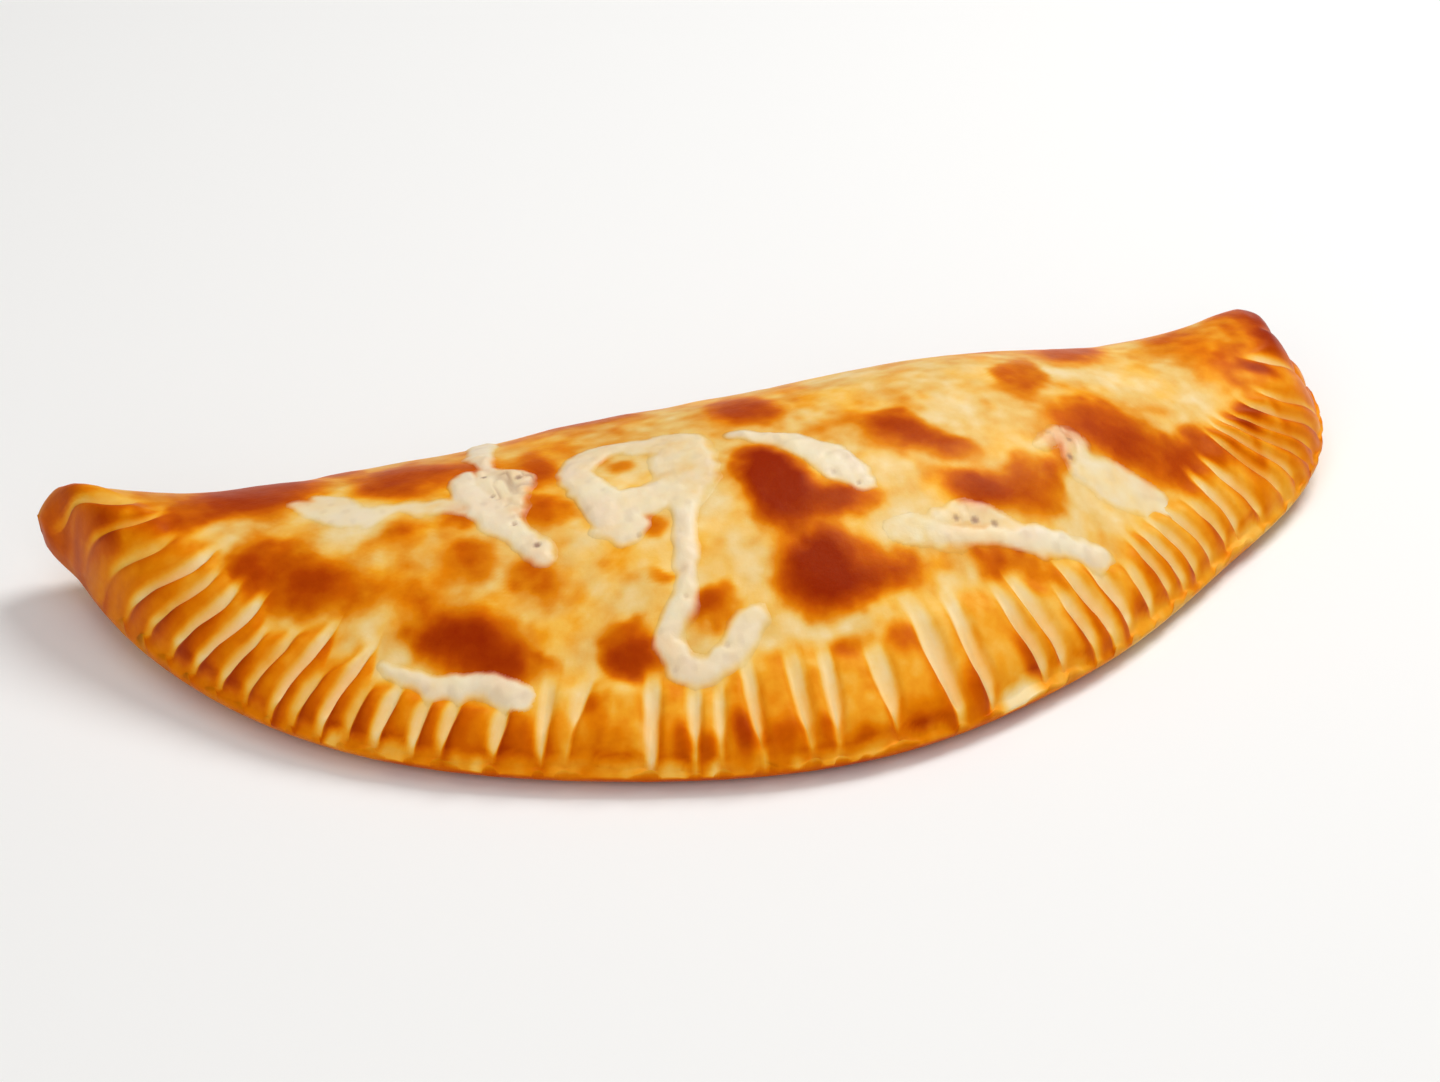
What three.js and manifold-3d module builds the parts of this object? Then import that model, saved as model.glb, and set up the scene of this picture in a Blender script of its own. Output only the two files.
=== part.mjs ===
// A baked cheese pie: a round of dough folded over its filling into a half-moon, sealed along the arc
// with fork marks, with melted cheese run over the top. It is one solid, and the cheese is fused on.
// X runs along the fold from the left horn to the right horn, the crimped arc faces -Y and Z is up.
// The origin is at the middle of the pie's extent, on the surface that the pie rests on.
import * as THREE from 'three';
import { mergeVertices } from 'three/addons/utils/BufferGeometryUtils.js';
import Module from 'manifold-3d';

// Driving dimensions in millimetres. While the pie is shaped, the horns lie near the line y = 0.
const HALF_LENGTH = 149;
const DEPTH = 127;
const RIM_THICKNESS = 7;
const FOLD_RADIUS_MIDDLE = 10;
const FOLD_RADIUS_HORN = 6;
const FOLD_UNDERCUT = 12;
const HORN_CORNER_LEFT = 8;
const HORN_CORNER_RIGHT = 5;
const HORN_CORNER_LENGTH = 9;
const FOLD_SWEEP_LEFT = 12;
const FOLD_SWEEP_RIGHT = 16;
const THUMB_REACH = 8;
const THUMB_ANGLE = 0.06;
const CORNER_CUT_LEFT = 3.5;
const CORNER_CUT_RIGHT = 5;
const CORNER_ANGLE = 0.05;
const LIFT_FADE = 30;
const HORN_ROUNDING = 8;
const CREST_PLACE = 0.6;
const FOCUS = new THREE.Vector2(0, -45);

// Gauges, each read at nine even steps of angle from the left horn round the front to the right horn:
// how far the rim keeps to its ellipse, the height of the crest, and the lift of the rim off the table
const RIM_EVENNESS = [0.945, 0.955, 0.978, 0.98, 0.996, 0.95, 0.927, 0.995, 0.968];
const CREST_HEIGHT = [22, 29, 28.5, 34, 39.5, 38.5, 28, 26, 22];
const RIM_LIFT = [13, 5.5, 2.5, 1.5, 1.5, 1.5, 1.5, 3, 6];

// Fork marks: places along the rim from the left horn, sideways lean, length inwards and depth
const GROOVE_HALF_WIDTH = 2;
const RIDGE_PUFF = 0.7;
const EDGE_NOTCH = 0.9;
const FORK_PRESSES = [
  { marks: [10, 19, 28], lean: 3, reach: 11, bite: 1.3 },
  { marks: [42, 50, 54, 60], lean: 7, reach: 15, bite: 2.4 },
  { marks: [68, 75, 80], lean: 4, reach: 9, bite: 1.7 },
  { marks: [84, 95], lean: 5, reach: 16, bite: 2.4 },
  { marks: [89, 101, 107], lean: 2, reach: 8, bite: 1.5 },
  { marks: [114, 120, 131], lean: 2.5, reach: 9, bite: 1.9 },
  { marks: [142, 148], lean: 3, reach: 15, bite: 1.6 },
  { marks: [165], lean: 0.5, reach: 16, bite: 3 },
  { marks: [174, 180, 188], lean: 0, reach: 15, bite: 1.7 },
  { marks: [198, 206, 217], lean: 0, reach: 16, bite: 2.1 },
  { marks: [234, 241], lean: 0.5, reach: 18, bite: 2.5 },
  { marks: [256, 262, 270, 277, 283], lean: -4, reach: 16, bite: 2.3 },
  { marks: [291, 299, 304, 310, 318, 325], lean: -5, reach: 12, bite: 1.9 },
  { marks: [330, 338], lean: -5, reach: 15, bite: 2.4 },
  { marks: [346, 352, 360, 366, 373, 380, 386], lean: -9, reach: 17, bite: 2 },
  { marks: [396, 406], lean: -6, reach: 12, bite: 1.4 },
];

// Melted cheese: centre line seen from above, width at both ends, and rise over the crust
const CHEESE_SINK = 1.2;
const CHEESE_STEP = 4;
const CHEESE_SIDES = 8;
const CHEESE_RUNS = [
  { route: [[-51, -20], [-54, -32], [-56, -41], [-58, -48]], width: [7, 9], rise: 1.6 },
  { route: [[-58, -42], [-56, -48], [-59, -54]], width: [15, 9], rise: 1.5 },
  { route: [[-66, -48], [-61, -54.5], [-57, -61], [-54.5, -67], [-52.5, -73]], width: [6, 7.5], rise: 1.8 },
  { route: [[-80, -41.5], [-72, -45], [-64, -50]], width: [3, 5], rise: 0.9 },
  { route: [[-97, -33], [-90, -34], [-83, -39], [-78, -44.5]], width: [8, 7], rise: 0.9 },
  {
    route: [[-20, -49], [-25, -44], [-32, -41.5], [-39, -43], [-41.5, -49], [-39.5, -55], [-35.5, -61]],
    width: [9, 9],
    rise: 1.6,
  },
  { route: [[-36, -57], [-35, -65], [-34, -74]], width: [9, 14], rise: 1.9 },
  { route: [[-27, -62], [-19, -60], [-12, -56]], width: [8, 10], rise: 1.3 },
  { route: [[-17, -48], [-14, -55], [-17, -64], [-20, -72]], width: [12, 9], rise: 1.5 },
  {
    route: [[-20, -70], [-22, -77], [-25, -84], [-28, -90], [-32, -95.5], [-34.5, -101], [-32.5, -106]],
    width: [6.5, 8],
    rise: 1.9,
  },
  { route: [[-34, -103], [-30, -107], [-23.5, -105], [-15, -100.5]], width: [7.5, 8.5], rise: 1.7 },
  {
    route: [[-6, -52], [0, -54], [4.5, -57], [9, -61], [12.5, -66], [15.5, -71], [17, -76]],
    width: [2.5, 8],
    rise: 1.9,
  },
  {
    route: [[19, -86.5], [26, -88], [34, -89.5], [44, -90.3], [54, -90.3], [61, -91.5], [65.5, -95]],
    width: [4, 6.5],
    rise: 1.9,
  },
  { route: [[33, -84.5], [38, -86], [44, -88]], width: [6, 5], rise: 1.2 },
  { route: [[67, -68], [70, -74], [76, -77.5], [86, -78.5]], width: [8, 9], rise: 0.9 },
  {
    route: [[-93, -79], [-89, -84.5], [-84, -89], [-79, -92], [-73, -93], [-69.5, -97], [-66.5, -102]],
    width: [6, 6],
    rise: 1.8,
  },
];

// Mesh density: distances in from the edge, widest gap between columns, and rings further in
const BAND_DEPTHS = [0, 0.7, 2.2, 4.2, 7, 10, 13.5, 17, 21, 26];
const RIM_COLUMN_GAP = 4.5;
const FOLD_COLUMNS = 56;
const TURN_LENGTH = 45;
const CROWN_RINGS = [
  { share: 0.1, count: 132 },
  { share: 0.22, count: 120 },
  { share: 0.35, count: 104 },
  { share: 0.5, count: 84 },
  { share: 0.66, count: 60 },
  { share: 0.83, count: 32 },
];
const BASE_DEPTHS = [0.9, 2.4, 4.5, 8, 14, 26];
const BASE_SHARES = [0.1, 0.25, 0.5];
const BASE_COLUMNS = 110;

const clamp01 = (value) => Math.min(Math.max(value, 0), 1);
const smooth = (value) => clamp01(value) ** 2 * (3 - 2 * clamp01(value));
const quarterRound = (value) => Math.sqrt(1 - (1 - clamp01(value)) ** 2);
const { lerp } = THREE.MathUtils;

// Value of an evenly spaced gauge at a place from 0 to 1, by a Catmull-Rom curve through its steps
function gauge(values, place) {
  const last = values.length - 1;
  const scaled = clamp01(place) * last;
  const index = Math.min(Math.floor(scaled), last - 1);
  const f = scaled - index;
  const before = values[Math.max(index - 1, 0)];
  const start = values[index];
  const end = values[index + 1];
  const after = values[Math.min(index + 2, last)];
  const bend = 2 * before - 5 * start + 4 * end - after + f * (3 * (start - end) + after - before);
  return start + 0.5 * f * (end - before + f * bend);
}

// The crimped arc seen from above: an ellipse made uneven by its gauge, with a thumb at the left horn
// and both horns' corners rounded off
class RimCurve extends THREE.Curve {
  getPoint(share, target = new THREE.Vector2()) {
    const angle = share * Math.PI;
    const even = gauge(RIM_EVENNESS, share);
    const bump = (from, width) => Math.exp(-((from / width) ** 2));
    const left = THUMB_REACH * bump(angle, THUMB_ANGLE) - CORNER_CUT_LEFT * bump(angle, CORNER_ANGLE);
    const right = CORNER_CUT_RIGHT * bump(Math.PI - angle, CORNER_ANGLE);
    return target.set(-HALF_LENGTH * even * Math.cos(angle) - left - right, -DEPTH * even * Math.sin(angle));
  }
}

const rim = new RimCurve();
rim.arcLengthDivisions = 1600;
const RIM_LENGTH = rim.getLength();
const LEFT_END = -rim.getPoint(0).x;
const RIGHT_END = rim.getPoint(1).x;
const rimTable = rim.getPoints(900);

// Angle that a place along the pie's length has round the arc
function stationAngle(x) {
  const end = x < 0 ? LEFT_END : RIGHT_END;
  return Math.acos(THREE.MathUtils.clamp(-x / end, -1, 1));
}

// The folded edge behind: it rounds the horns' corners and sweeps forward towards the middle
function foldDepth(angle) {
  const right = (1 - Math.cos(angle)) / 2;
  const corner = lerp(HORN_CORNER_LEFT, HORN_CORNER_RIGHT, right);
  const sweep = lerp(FOLD_SWEEP_LEFT, FOLD_SWEEP_RIGHT, right);
  const fromHorn = HALF_LENGTH * (1 - Math.abs(Math.cos(angle)));
  return corner * quarterRound(fromHorn / HORN_CORNER_LENGTH) - sweep * Math.sin(angle);
}

function foldPoint(share) {
  const angle = share * Math.PI;
  const end = angle < Math.PI / 2 ? LEFT_END : RIGHT_END;
  return new THREE.Vector2(-end * Math.cos(angle), foldDepth(angle));
}

// Depth of the rim straight in front of a place along the length
function rimDepth(x) {
  let after = rimTable.findIndex((point) => point.x > x);
  if (after < 0) after = rimTable.length - 1;
  after = Math.max(after, 1);
  const a = rimTable[after - 1];
  const b = rimTable[after];
  return lerp(a.y, b.y, clamp01((x - a.x) / (b.x - a.x)));
}

// Distance of a point in from the rim, from how far out it lies on the rim's own ellipse
function distanceIn(x, y) {
  const front = Math.max(-y, 0);
  const angle = Math.atan2(front / DEPTH, -x / HALF_LENGTH);
  const edge = rim.getPoint(angle / Math.PI);
  const out = Math.hypot(x / HALF_LENGTH, front / DEPTH) / Math.hypot(edge.x / HALF_LENGTH, edge.y / DEPTH);
  return Math.max(1 - out, 0) * lerp(DEPTH, HALF_LENGTH, Math.cos(angle) ** 2);
}

// Lift of the underside at a point, and the height of the folded edge's middle above it
function liftAt(x, y) {
  const fade = 1 - distanceIn(x, y) / LIFT_FADE;
  return gauge(RIM_LIFT, stationAngle(x) / Math.PI) * smooth(fade);
}

function foldRadius(x) {
  return lerp(FOLD_RADIUS_HORN, FOLD_RADIUS_MIDDLE, Math.sin(stationAngle(x)));
}

// Height of the upper crust: a rounded lip, a front slope up to the crest and a rounded back
function topHeight(x, y) {
  const angle = stationAngle(x);
  const near = rimDepth(x);
  const across = clamp01((y - near) / Math.max(foldDepth(angle) - near, 0.001));
  const lift = liftAt(x, y);
  const lip = lift + (RIM_THICKNESS / 2) * (1 + quarterRound(distanceIn(x, y) / (RIM_THICKNESS / 2)));
  const rise = 1 - (1 - clamp01(across / CREST_PLACE) ** 1.15) ** 2.1;
  const toHorn = (x < 0 ? LEFT_END + x : RIGHT_END - x) / HORN_ROUNDING;
  const crest = gauge(CREST_HEIGHT, angle / Math.PI);
  const slope = lip + (crest - lip) * rise * quarterRound(toHorn);
  const fall = Math.sqrt(1 - clamp01((across - CREST_PLACE) / (1 - CREST_PLACE)) ** 2.2);
  return lerp(lift + foldRadius(x), slope, fall);
}

// Height of the underside: flat on the table, lifted under the rim and rounded up to both edges
function baseHeight(x, y) {
  const underRim = (RIM_THICKNESS / 2) * (1 - quarterRound(distanceIn(x, y) / (RIM_THICKNESS / 2)));
  const fromFold = foldDepth(stationAngle(x)) - y;
  const underFold = foldRadius(x) * (1 - quarterRound(fromFold / FOLD_UNDERCUT));
  return liftAt(x, y) + Math.max(underRim, underFold);
}

// Every fork mark in order along the rim, closed by a mark without depth at each horn
const HORN_MARK = { lean: 0, reach: 10, bite: 0 };
const MARKS = FORK_PRESSES.flatMap((press) => press.marks.map((at) => ({ ...press, at })));
MARKS.push({ ...HORN_MARK, at: 0 }, { ...HORN_MARK, at: RIM_LENGTH });
MARKS.sort((a, b) => a.at - b.at);

// The two marks round a place on the rim, and the place's share of the way between them
function between(along) {
  const index = Math.min(Math.max(MARKS.findIndex((mark) => mark.at > along), 1), MARKS.length - 1);
  const [a, b] = along >= RIM_LENGTH ? MARKS.slice(-2) : [MARKS[index - 1], MARKS[index]];
  return { a, b, share: clamp01((along - a.at) / (b.at - a.at)) };
}

// Relief of the crimping: a cosine groove at each mark and a puffed ridge between two of them
function crimpRelief(along, inwards) {
  const { a, b, share } = between(along);
  const reach = lerp(a.reach, b.reach, share);
  const length = (1 - smooth((inwards / reach - 0.65) / 0.4)) * lerp(0.55, 1, clamp01(inwards / 1.5));
  const groove = [a, b].reduce((sum, mark) => {
    const off = clamp01(Math.abs(along - mark.at) / (GROOVE_HALF_WIDTH * 1.3));
    return sum + mark.bite * 0.5 * (1 + Math.cos(Math.PI * off));
  }, 0);
  return length * (RIDGE_PUFF * (1 - (2 * share - 1) ** 2) - groove);
}

// Direction in from the rim: along its normal, turned towards the focus near the horns
function inwardAt(share) {
  const tangent = rim.getTangentAt(share);
  const normal = new THREE.Vector2(-tangent.y, tangent.x);
  const toFocus = FOCUS.clone().sub(rim.getPointAt(share)).normalize();
  const fromHorn = Math.min(share, 1 - share) * RIM_LENGTH;
  return toFocus.lerp(normal, smooth(fromHorn / TURN_LENGTH)).normalize();
}

// Places of the mesh columns on the rim: three at each mark, and more where marks are far apart
function rimColumns() {
  const stops = MARKS.flatMap(({ at, bite }) => {
    return bite ? [at - GROOVE_HALF_WIDTH, at, at + GROOVE_HALF_WIDTH] : [at];
  });
  return stops.flatMap((stop, index) => {
    if (index === stops.length - 1) return [stop];
    const gap = stops[index + 1] - stop;
    const parts = Math.max(Math.ceil(gap / RIM_COLUMN_GAP), 1);
    return Array.from({ length: parts }, (_, part) => stop + (gap * part) / parts);
  });
}

// One ring of the crimped band at a distance in from the edge, leaning with the marks
function bandRing(inwards) {
  const rimPart = rimColumns().map((along) => {
    const { a, b, share } = between(along);
    const lean = lerp(a.lean, b.lean, share) * clamp01(inwards / lerp(a.reach, b.reach, share));
    const place = clamp01((along + lean) / RIM_LENGTH);
    const relief = crimpRelief(along, inwards);
    const notch = EDGE_NOTCH * clamp01(-relief) * (1 - clamp01(inwards / 6));
    const spot = rim.getPointAt(place).addScaledVector(inwardAt(place), inwards + notch);
    return new THREE.Vector3(spot.x, spot.y, topHeight(spot.x, spot.y) + relief);
  });
  const foldPart = Array.from({ length: FOLD_COLUMNS }, (_, index) => {
    const spot = foldPoint(1 - (index + 1) / (FOLD_COLUMNS + 1));
    spot.addScaledVector(FOCUS.clone().sub(spot).normalize(), inwards);
    return new THREE.Vector3(spot.x, spot.y, topHeight(spot.x, spot.y));
  });
  return [...rimPart, ...foldPart];
}

// Points spaced evenly by length round a closed ring, starting at its first point
function respaced(ring, count) {
  const loop = new THREE.CurvePath();
  ring.forEach((point, index) => loop.add(new THREE.LineCurve3(point, ring[(index + 1) % ring.length])));
  return Array.from({ length: count }, (_, index) => loop.getPoint(index / count));
}

// A closed skin built from rings of points joined by triangles
class Skin {
  constructor() {
    this.points = [];
    this.faces = [];
  }

  add(ring) {
    return ring.map((point) => this.points.push(point) - 1);
  }

  // Turn round the focus from the left horn's side, which orders the points of every ring
  turn(index) {
    const { x, y } = this.points[index];
    const start = Math.atan2(-FOCUS.y, -LEFT_END) - 0.0001;
    return (Math.atan2(y - FOCUS.y, x) - start + 4 * Math.PI) % (2 * Math.PI);
  }

  face(a, b, c, upwards) {
    this.faces.push(...(upwards ? [a, b, c] : [a, c, b]));
  }

  // Join an outer ring to an inner one, stepping along whichever is behind
  join(outer, inner, upwards) {
    let i = 0;
    let j = 0;
    while (i < outer.length || j < inner.length) {
      const nextOuter = i + 1 < outer.length ? this.turn(outer[i + 1]) : 2 * Math.PI;
      const nextInner = j + 1 < inner.length ? this.turn(inner[j + 1]) : 2 * Math.PI;
      const even = outer.length === inner.length;
      const outerBehind = even ? i <= j : nextOuter <= nextInner;
      const stepOuter = j >= inner.length || (i < outer.length && outerBehind);
      const a = outer[i % outer.length];
      const b = inner[j % inner.length];
      if (stepOuter) this.face(a, outer[(i + 1) % outer.length], b, upwards);
      else this.face(a, inner[(j + 1) % inner.length], b, upwards);
      if (stepOuter) i += 1;
      else j += 1;
    }
  }

  close(ring, pole, upwards) {
    const [tip] = this.add([pole]);
    ring.forEach((from, index) => this.face(from, ring[(index + 1) % ring.length], tip, upwards));
  }

  geometry() {
    const shape = new THREE.BufferGeometry();
    const places = this.points.flatMap((point) => point.toArray());
    shape.setAttribute('position', new THREE.Float32BufferAttribute(places, 3));
    shape.setIndex(this.faces);
    return mergeVertices(shape);
  }
}

// The baked dough: upper crust from the edge to the focus, then the underside from the same edge
function doughGeometry() {
  const skin = new Skin();
  const bands = BAND_DEPTHS.map(bandRing);
  const indices = bands.map((ring) => skin.add(ring));
  indices.slice(1).forEach((ring, index) => skin.join(indices[index], ring, true));
  let ring = indices[indices.length - 1];
  for (const { share, count } of CROWN_RINGS) {
    const inner = skin.add(respaced(bands[bands.length - 1], count).map(({ x, y }) => {
      const spot = new THREE.Vector2(x, y).lerp(FOCUS, share);
      return new THREE.Vector3(spot.x, spot.y, topHeight(spot.x, spot.y));
    }));
    skin.join(ring, inner, true);
    ring = inner;
  }
  skin.close(ring, new THREE.Vector3(FOCUS.x, FOCUS.y, topHeight(FOCUS.x, FOCUS.y)), true);
  ring = indices[0];
  const under = BASE_DEPTHS.map((inwards) => respaced(bandRing(inwards), BASE_COLUMNS));
  const deepest = under[under.length - 1];
  under.push(...BASE_SHARES.map((share) => deepest.map((point) => {
    return new THREE.Vector3(lerp(point.x, FOCUS.x, share), lerp(point.y, FOCUS.y, share));
  })));
  for (const points of under) {
    const inner = skin.add(points.map(({ x, y }) => new THREE.Vector3(x, y, baseHeight(x, y))));
    skin.join(ring, inner, false);
    ring = inner;
  }
  skin.close(ring, new THREE.Vector3(FOCUS.x, FOCUS.y, 0), false);
  return skin.geometry();
}

// One run of cheese: flat-oval rings along its route, draped on the crust and rounded at the ends
function cheeseGeometry({ route, width, rise }) {
  const stops = route.map(([x, y]) => new THREE.Vector3(x, y, 0));
  const line = new THREE.CatmullRomCurve3(stops, false, 'centripetal');
  const length = line.getLength();
  const steps = Math.max(Math.round(length / CHEESE_STEP), 3);
  const points = [];
  const place = (spot, lift) => points.push(spot.x, spot.y, topHeight(spot.x, spot.y) + lift) / 3 - 1;
  const rings = [];
  for (let step = 1; step < 2 * steps; step += 1) {
    const share = (1 - Math.cos((Math.PI * step) / (2 * steps))) / 2;
    const centre = line.getPointAt(share);
    const tangent = line.getTangentAt(share);
    const fromEnd = Math.min(share, 1 - share) * length;
    const end = quarterRound(fromEnd / (width[share < 0.5 ? 0 : 1] / 2));
    const half = (end * lerp(width[0], width[1], share)) / 2;
    rings.push(Array.from({ length: CHEESE_SIDES }, (_, side) => {
      const turn = (2 * Math.PI * side) / CHEESE_SIDES;
      const out = half * Math.cos(turn);
      const spot = { x: centre.x - tangent.y * out, y: centre.y + tangent.x * out };
      const lift = Math.sin(turn) > 0 ? rise * end * Math.sin(turn) : CHEESE_SINK * Math.sin(turn);
      return place(spot, lift - CHEESE_SINK / 4);
    }));
  }
  const first = place(line.getPoint(0), -CHEESE_SINK / 2);
  const last = place(line.getPoint(1), -CHEESE_SINK / 2);
  const faces = [];
  for (let side = 0; side < CHEESE_SIDES; side += 1) {
    const next = (side + 1) % CHEESE_SIDES;
    faces.push(first, rings[0][next], rings[0][side]);
    faces.push(last, rings[rings.length - 1][side], rings[rings.length - 1][next]);
    for (let step = 1; step < rings.length; step += 1) {
      const [a, b] = [rings[step - 1], rings[step]];
      faces.push(a[side], a[next], b[next], a[side], b[next], b[side]);
    }
  }
  const shape = new THREE.BufferGeometry();
  shape.setAttribute('position', new THREE.Float32BufferAttribute(points, 3));
  shape.setIndex(faces);
  return shape;
}

const wasm = await Module();
wasm.setup();

function toSolid(shape) {
  return new wasm.Manifold(new wasm.Mesh({
    numProp: 3,
    vertProperties: new Float32Array(shape.attributes.position.array),
    triVerts: new Uint32Array(shape.index.array),
  }));
}

function toGeometry(solid) {
  const { vertProperties, triVerts } = solid.getMesh();
  const shape = new THREE.BufferGeometry();
  shape.setAttribute('position', new THREE.Float32BufferAttribute(vertProperties, 3));
  shape.setIndex([...triVerts]);
  return shape;
}

// The whole pie, moved so that its extent is centred over the origin and its underside is at z = 0
function pieGeometry() {
  const dough = toSolid(doughGeometry());
  const solid = CHEESE_RUNS.reduce((sum, run) => sum.add(toSolid(cheeseGeometry(run))), dough);
  const shape = toGeometry(solid);
  shape.computeBoundingBox();
  const { min, max } = shape.boundingBox;
  shape.translate(-(min.x + max.x) / 2, -(min.y + max.y) / 2, -min.z);
  shape.computeVertexNormals();
  return shape;
}

const crust = new THREE.MeshStandardMaterial({ color: 0xdd9a3c, roughness: 0.45, metalness: 0 });
const pie = new THREE.Mesh(pieGeometry(), crust);
pie.name = 'cheese_pie';

const model = new THREE.Group();
model.add(pie);

export default model;
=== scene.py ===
"""The finished look of a baked cheese pie: a crimped half-moon of browned dough with melted cheese on it.

Shapes are worked out in millimetres, in the frame in which the pie was shaped: the folded edge lies near
y = 0, the crimped arc faces -y and z is up. They are moved to the part's own frame, in metres, as meshes are
made.
"""

import logging
import math
from collections.abc import Sequence
from dataclasses import astuple, dataclass, field
from enum import Enum

import bpy
import numpy as np
from mathutils import Matrix, Vector


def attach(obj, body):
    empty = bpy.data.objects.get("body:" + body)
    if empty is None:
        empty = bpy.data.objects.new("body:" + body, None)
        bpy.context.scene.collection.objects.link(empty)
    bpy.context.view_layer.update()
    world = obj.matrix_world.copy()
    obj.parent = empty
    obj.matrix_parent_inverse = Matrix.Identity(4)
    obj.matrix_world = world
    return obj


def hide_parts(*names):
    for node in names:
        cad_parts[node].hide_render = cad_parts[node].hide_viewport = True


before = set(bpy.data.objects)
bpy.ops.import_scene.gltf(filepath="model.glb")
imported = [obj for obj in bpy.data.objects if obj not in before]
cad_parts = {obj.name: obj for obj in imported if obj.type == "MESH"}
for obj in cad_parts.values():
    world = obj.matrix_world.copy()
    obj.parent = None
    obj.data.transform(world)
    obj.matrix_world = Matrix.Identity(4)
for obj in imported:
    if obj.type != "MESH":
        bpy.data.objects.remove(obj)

Array = np.ndarray
Colour = tuple[float, float, float]
Stops = tuple[tuple[float, Colour], ...]
Layers = tuple[tuple[float, float, int], ...]
Source = bpy.types.NodeSocket | float | Sequence[float]

log = logging.getLogger("cheese_pie")

CRUST_NODE = "cheese_pie"
MILLIMETRE = 0.001
OUTLINE_STEPS = 2401


def clamp01(value: Array) -> Array:
    """Limit values to the range from 0 to 1."""
    return np.clip(value, 0.0, 1.0)


def smooth(value: Array) -> Array:
    """Ease values from 0 to 1 with a level start and end."""
    t = clamp01(value)
    return t * t * (3.0 - 2.0 * t)


def quarter_round(value: Array) -> Array:
    """Height of a quarter circle at a share of the way in from its foot."""
    return np.sqrt(1.0 - (1.0 - clamp01(value)) ** 2)


def blend(start: Array | float, end: Array | float, share: Array) -> Array:
    """Mix two values by a share."""
    return start + (end - start) * share


def gauge(values: Sequence[float], place: Array) -> Array:
    """Read an evenly spaced gauge by a Catmull-Rom curve through its steps.

    Args:
        values: The gauge's value at each step.
        place: Places along the gauge, from 0 to 1.

    Returns:
        The value at each place.
    """
    steps = np.asarray(values, float)
    last = len(steps) - 1
    scaled = clamp01(place) * last
    index = np.minimum(scaled.astype(int), last - 1)
    f = scaled - index
    before, start = steps[np.maximum(index - 1, 0)], steps[index]
    end, after = steps[index + 1], steps[np.minimum(index + 2, last)]
    bend = 2 * before - 5 * start + 4 * end - after + f * (3 * (start - end) + after - before)
    return start + 0.5 * f * (end - before + f * bend)


def linear(colour: Colour) -> tuple[float, float, float, float]:
    """Turn a display colour, 0 to 255 a channel, into a linear colour with full alpha.

    Args:
        colour: The display colour.

    Returns:
        The linear colour.
    """
    shares = [channel / 255.0 for channel in colour]
    red, green, blue = (s / 12.92 if s <= 0.04045 else ((s + 0.055) / 1.055) ** 2.4 for s in shares)
    return red, green, blue, 1.0


@dataclass(frozen=True)
class Grain:
    """Seeded smooth unevenness: random values on a square lattice, eased between its corners.

    Attributes:
        size: Distance between lattice corners, in millimetres.
        seed: Seed of the lattice.
        cells: Corners on each side of the lattice before it repeats.
        start: Where the lattice starts, in corners, so that no corner falls on the origin.
    """

    size: float
    seed: int
    cells: int = 64
    start: tuple[float, float] = (17.3, 31.7)

    def at(self, x: Array, y: Array) -> Array:
        """Unevenness at points, eased between the four corners round each.

        Args:
            x: First coordinates of the points.
            y: Their second coordinates.

        Returns:
            Unevenness from -1 to 1.
        """
        lattice = np.random.default_rng(self.seed).uniform(-1.0, 1.0, (self.cells, self.cells))
        u, v = np.asarray(x) / self.size + self.start[0], np.asarray(y) / self.size + self.start[1]
        i, j = np.floor(u).astype(int), np.floor(v).astype(int)
        fu, fv = smooth(u - i), smooth(v - j)
        near = [[lattice[(i + a) % self.cells, (j + b) % self.cells] for b in (0, 1)] for a in (0, 1)]
        return blend(blend(near[0][0], near[1][0], fu), blend(near[0][1], near[1][1], fu), fv)


def uneven(layers: Layers, x: Array, y: Array) -> Array:
    """Add up layers of grain at points, each given as its strength, its size in millimetres and its seed."""
    return sum(strength * Grain(size, seed).at(x, y) for strength, size, seed in layers)


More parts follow.
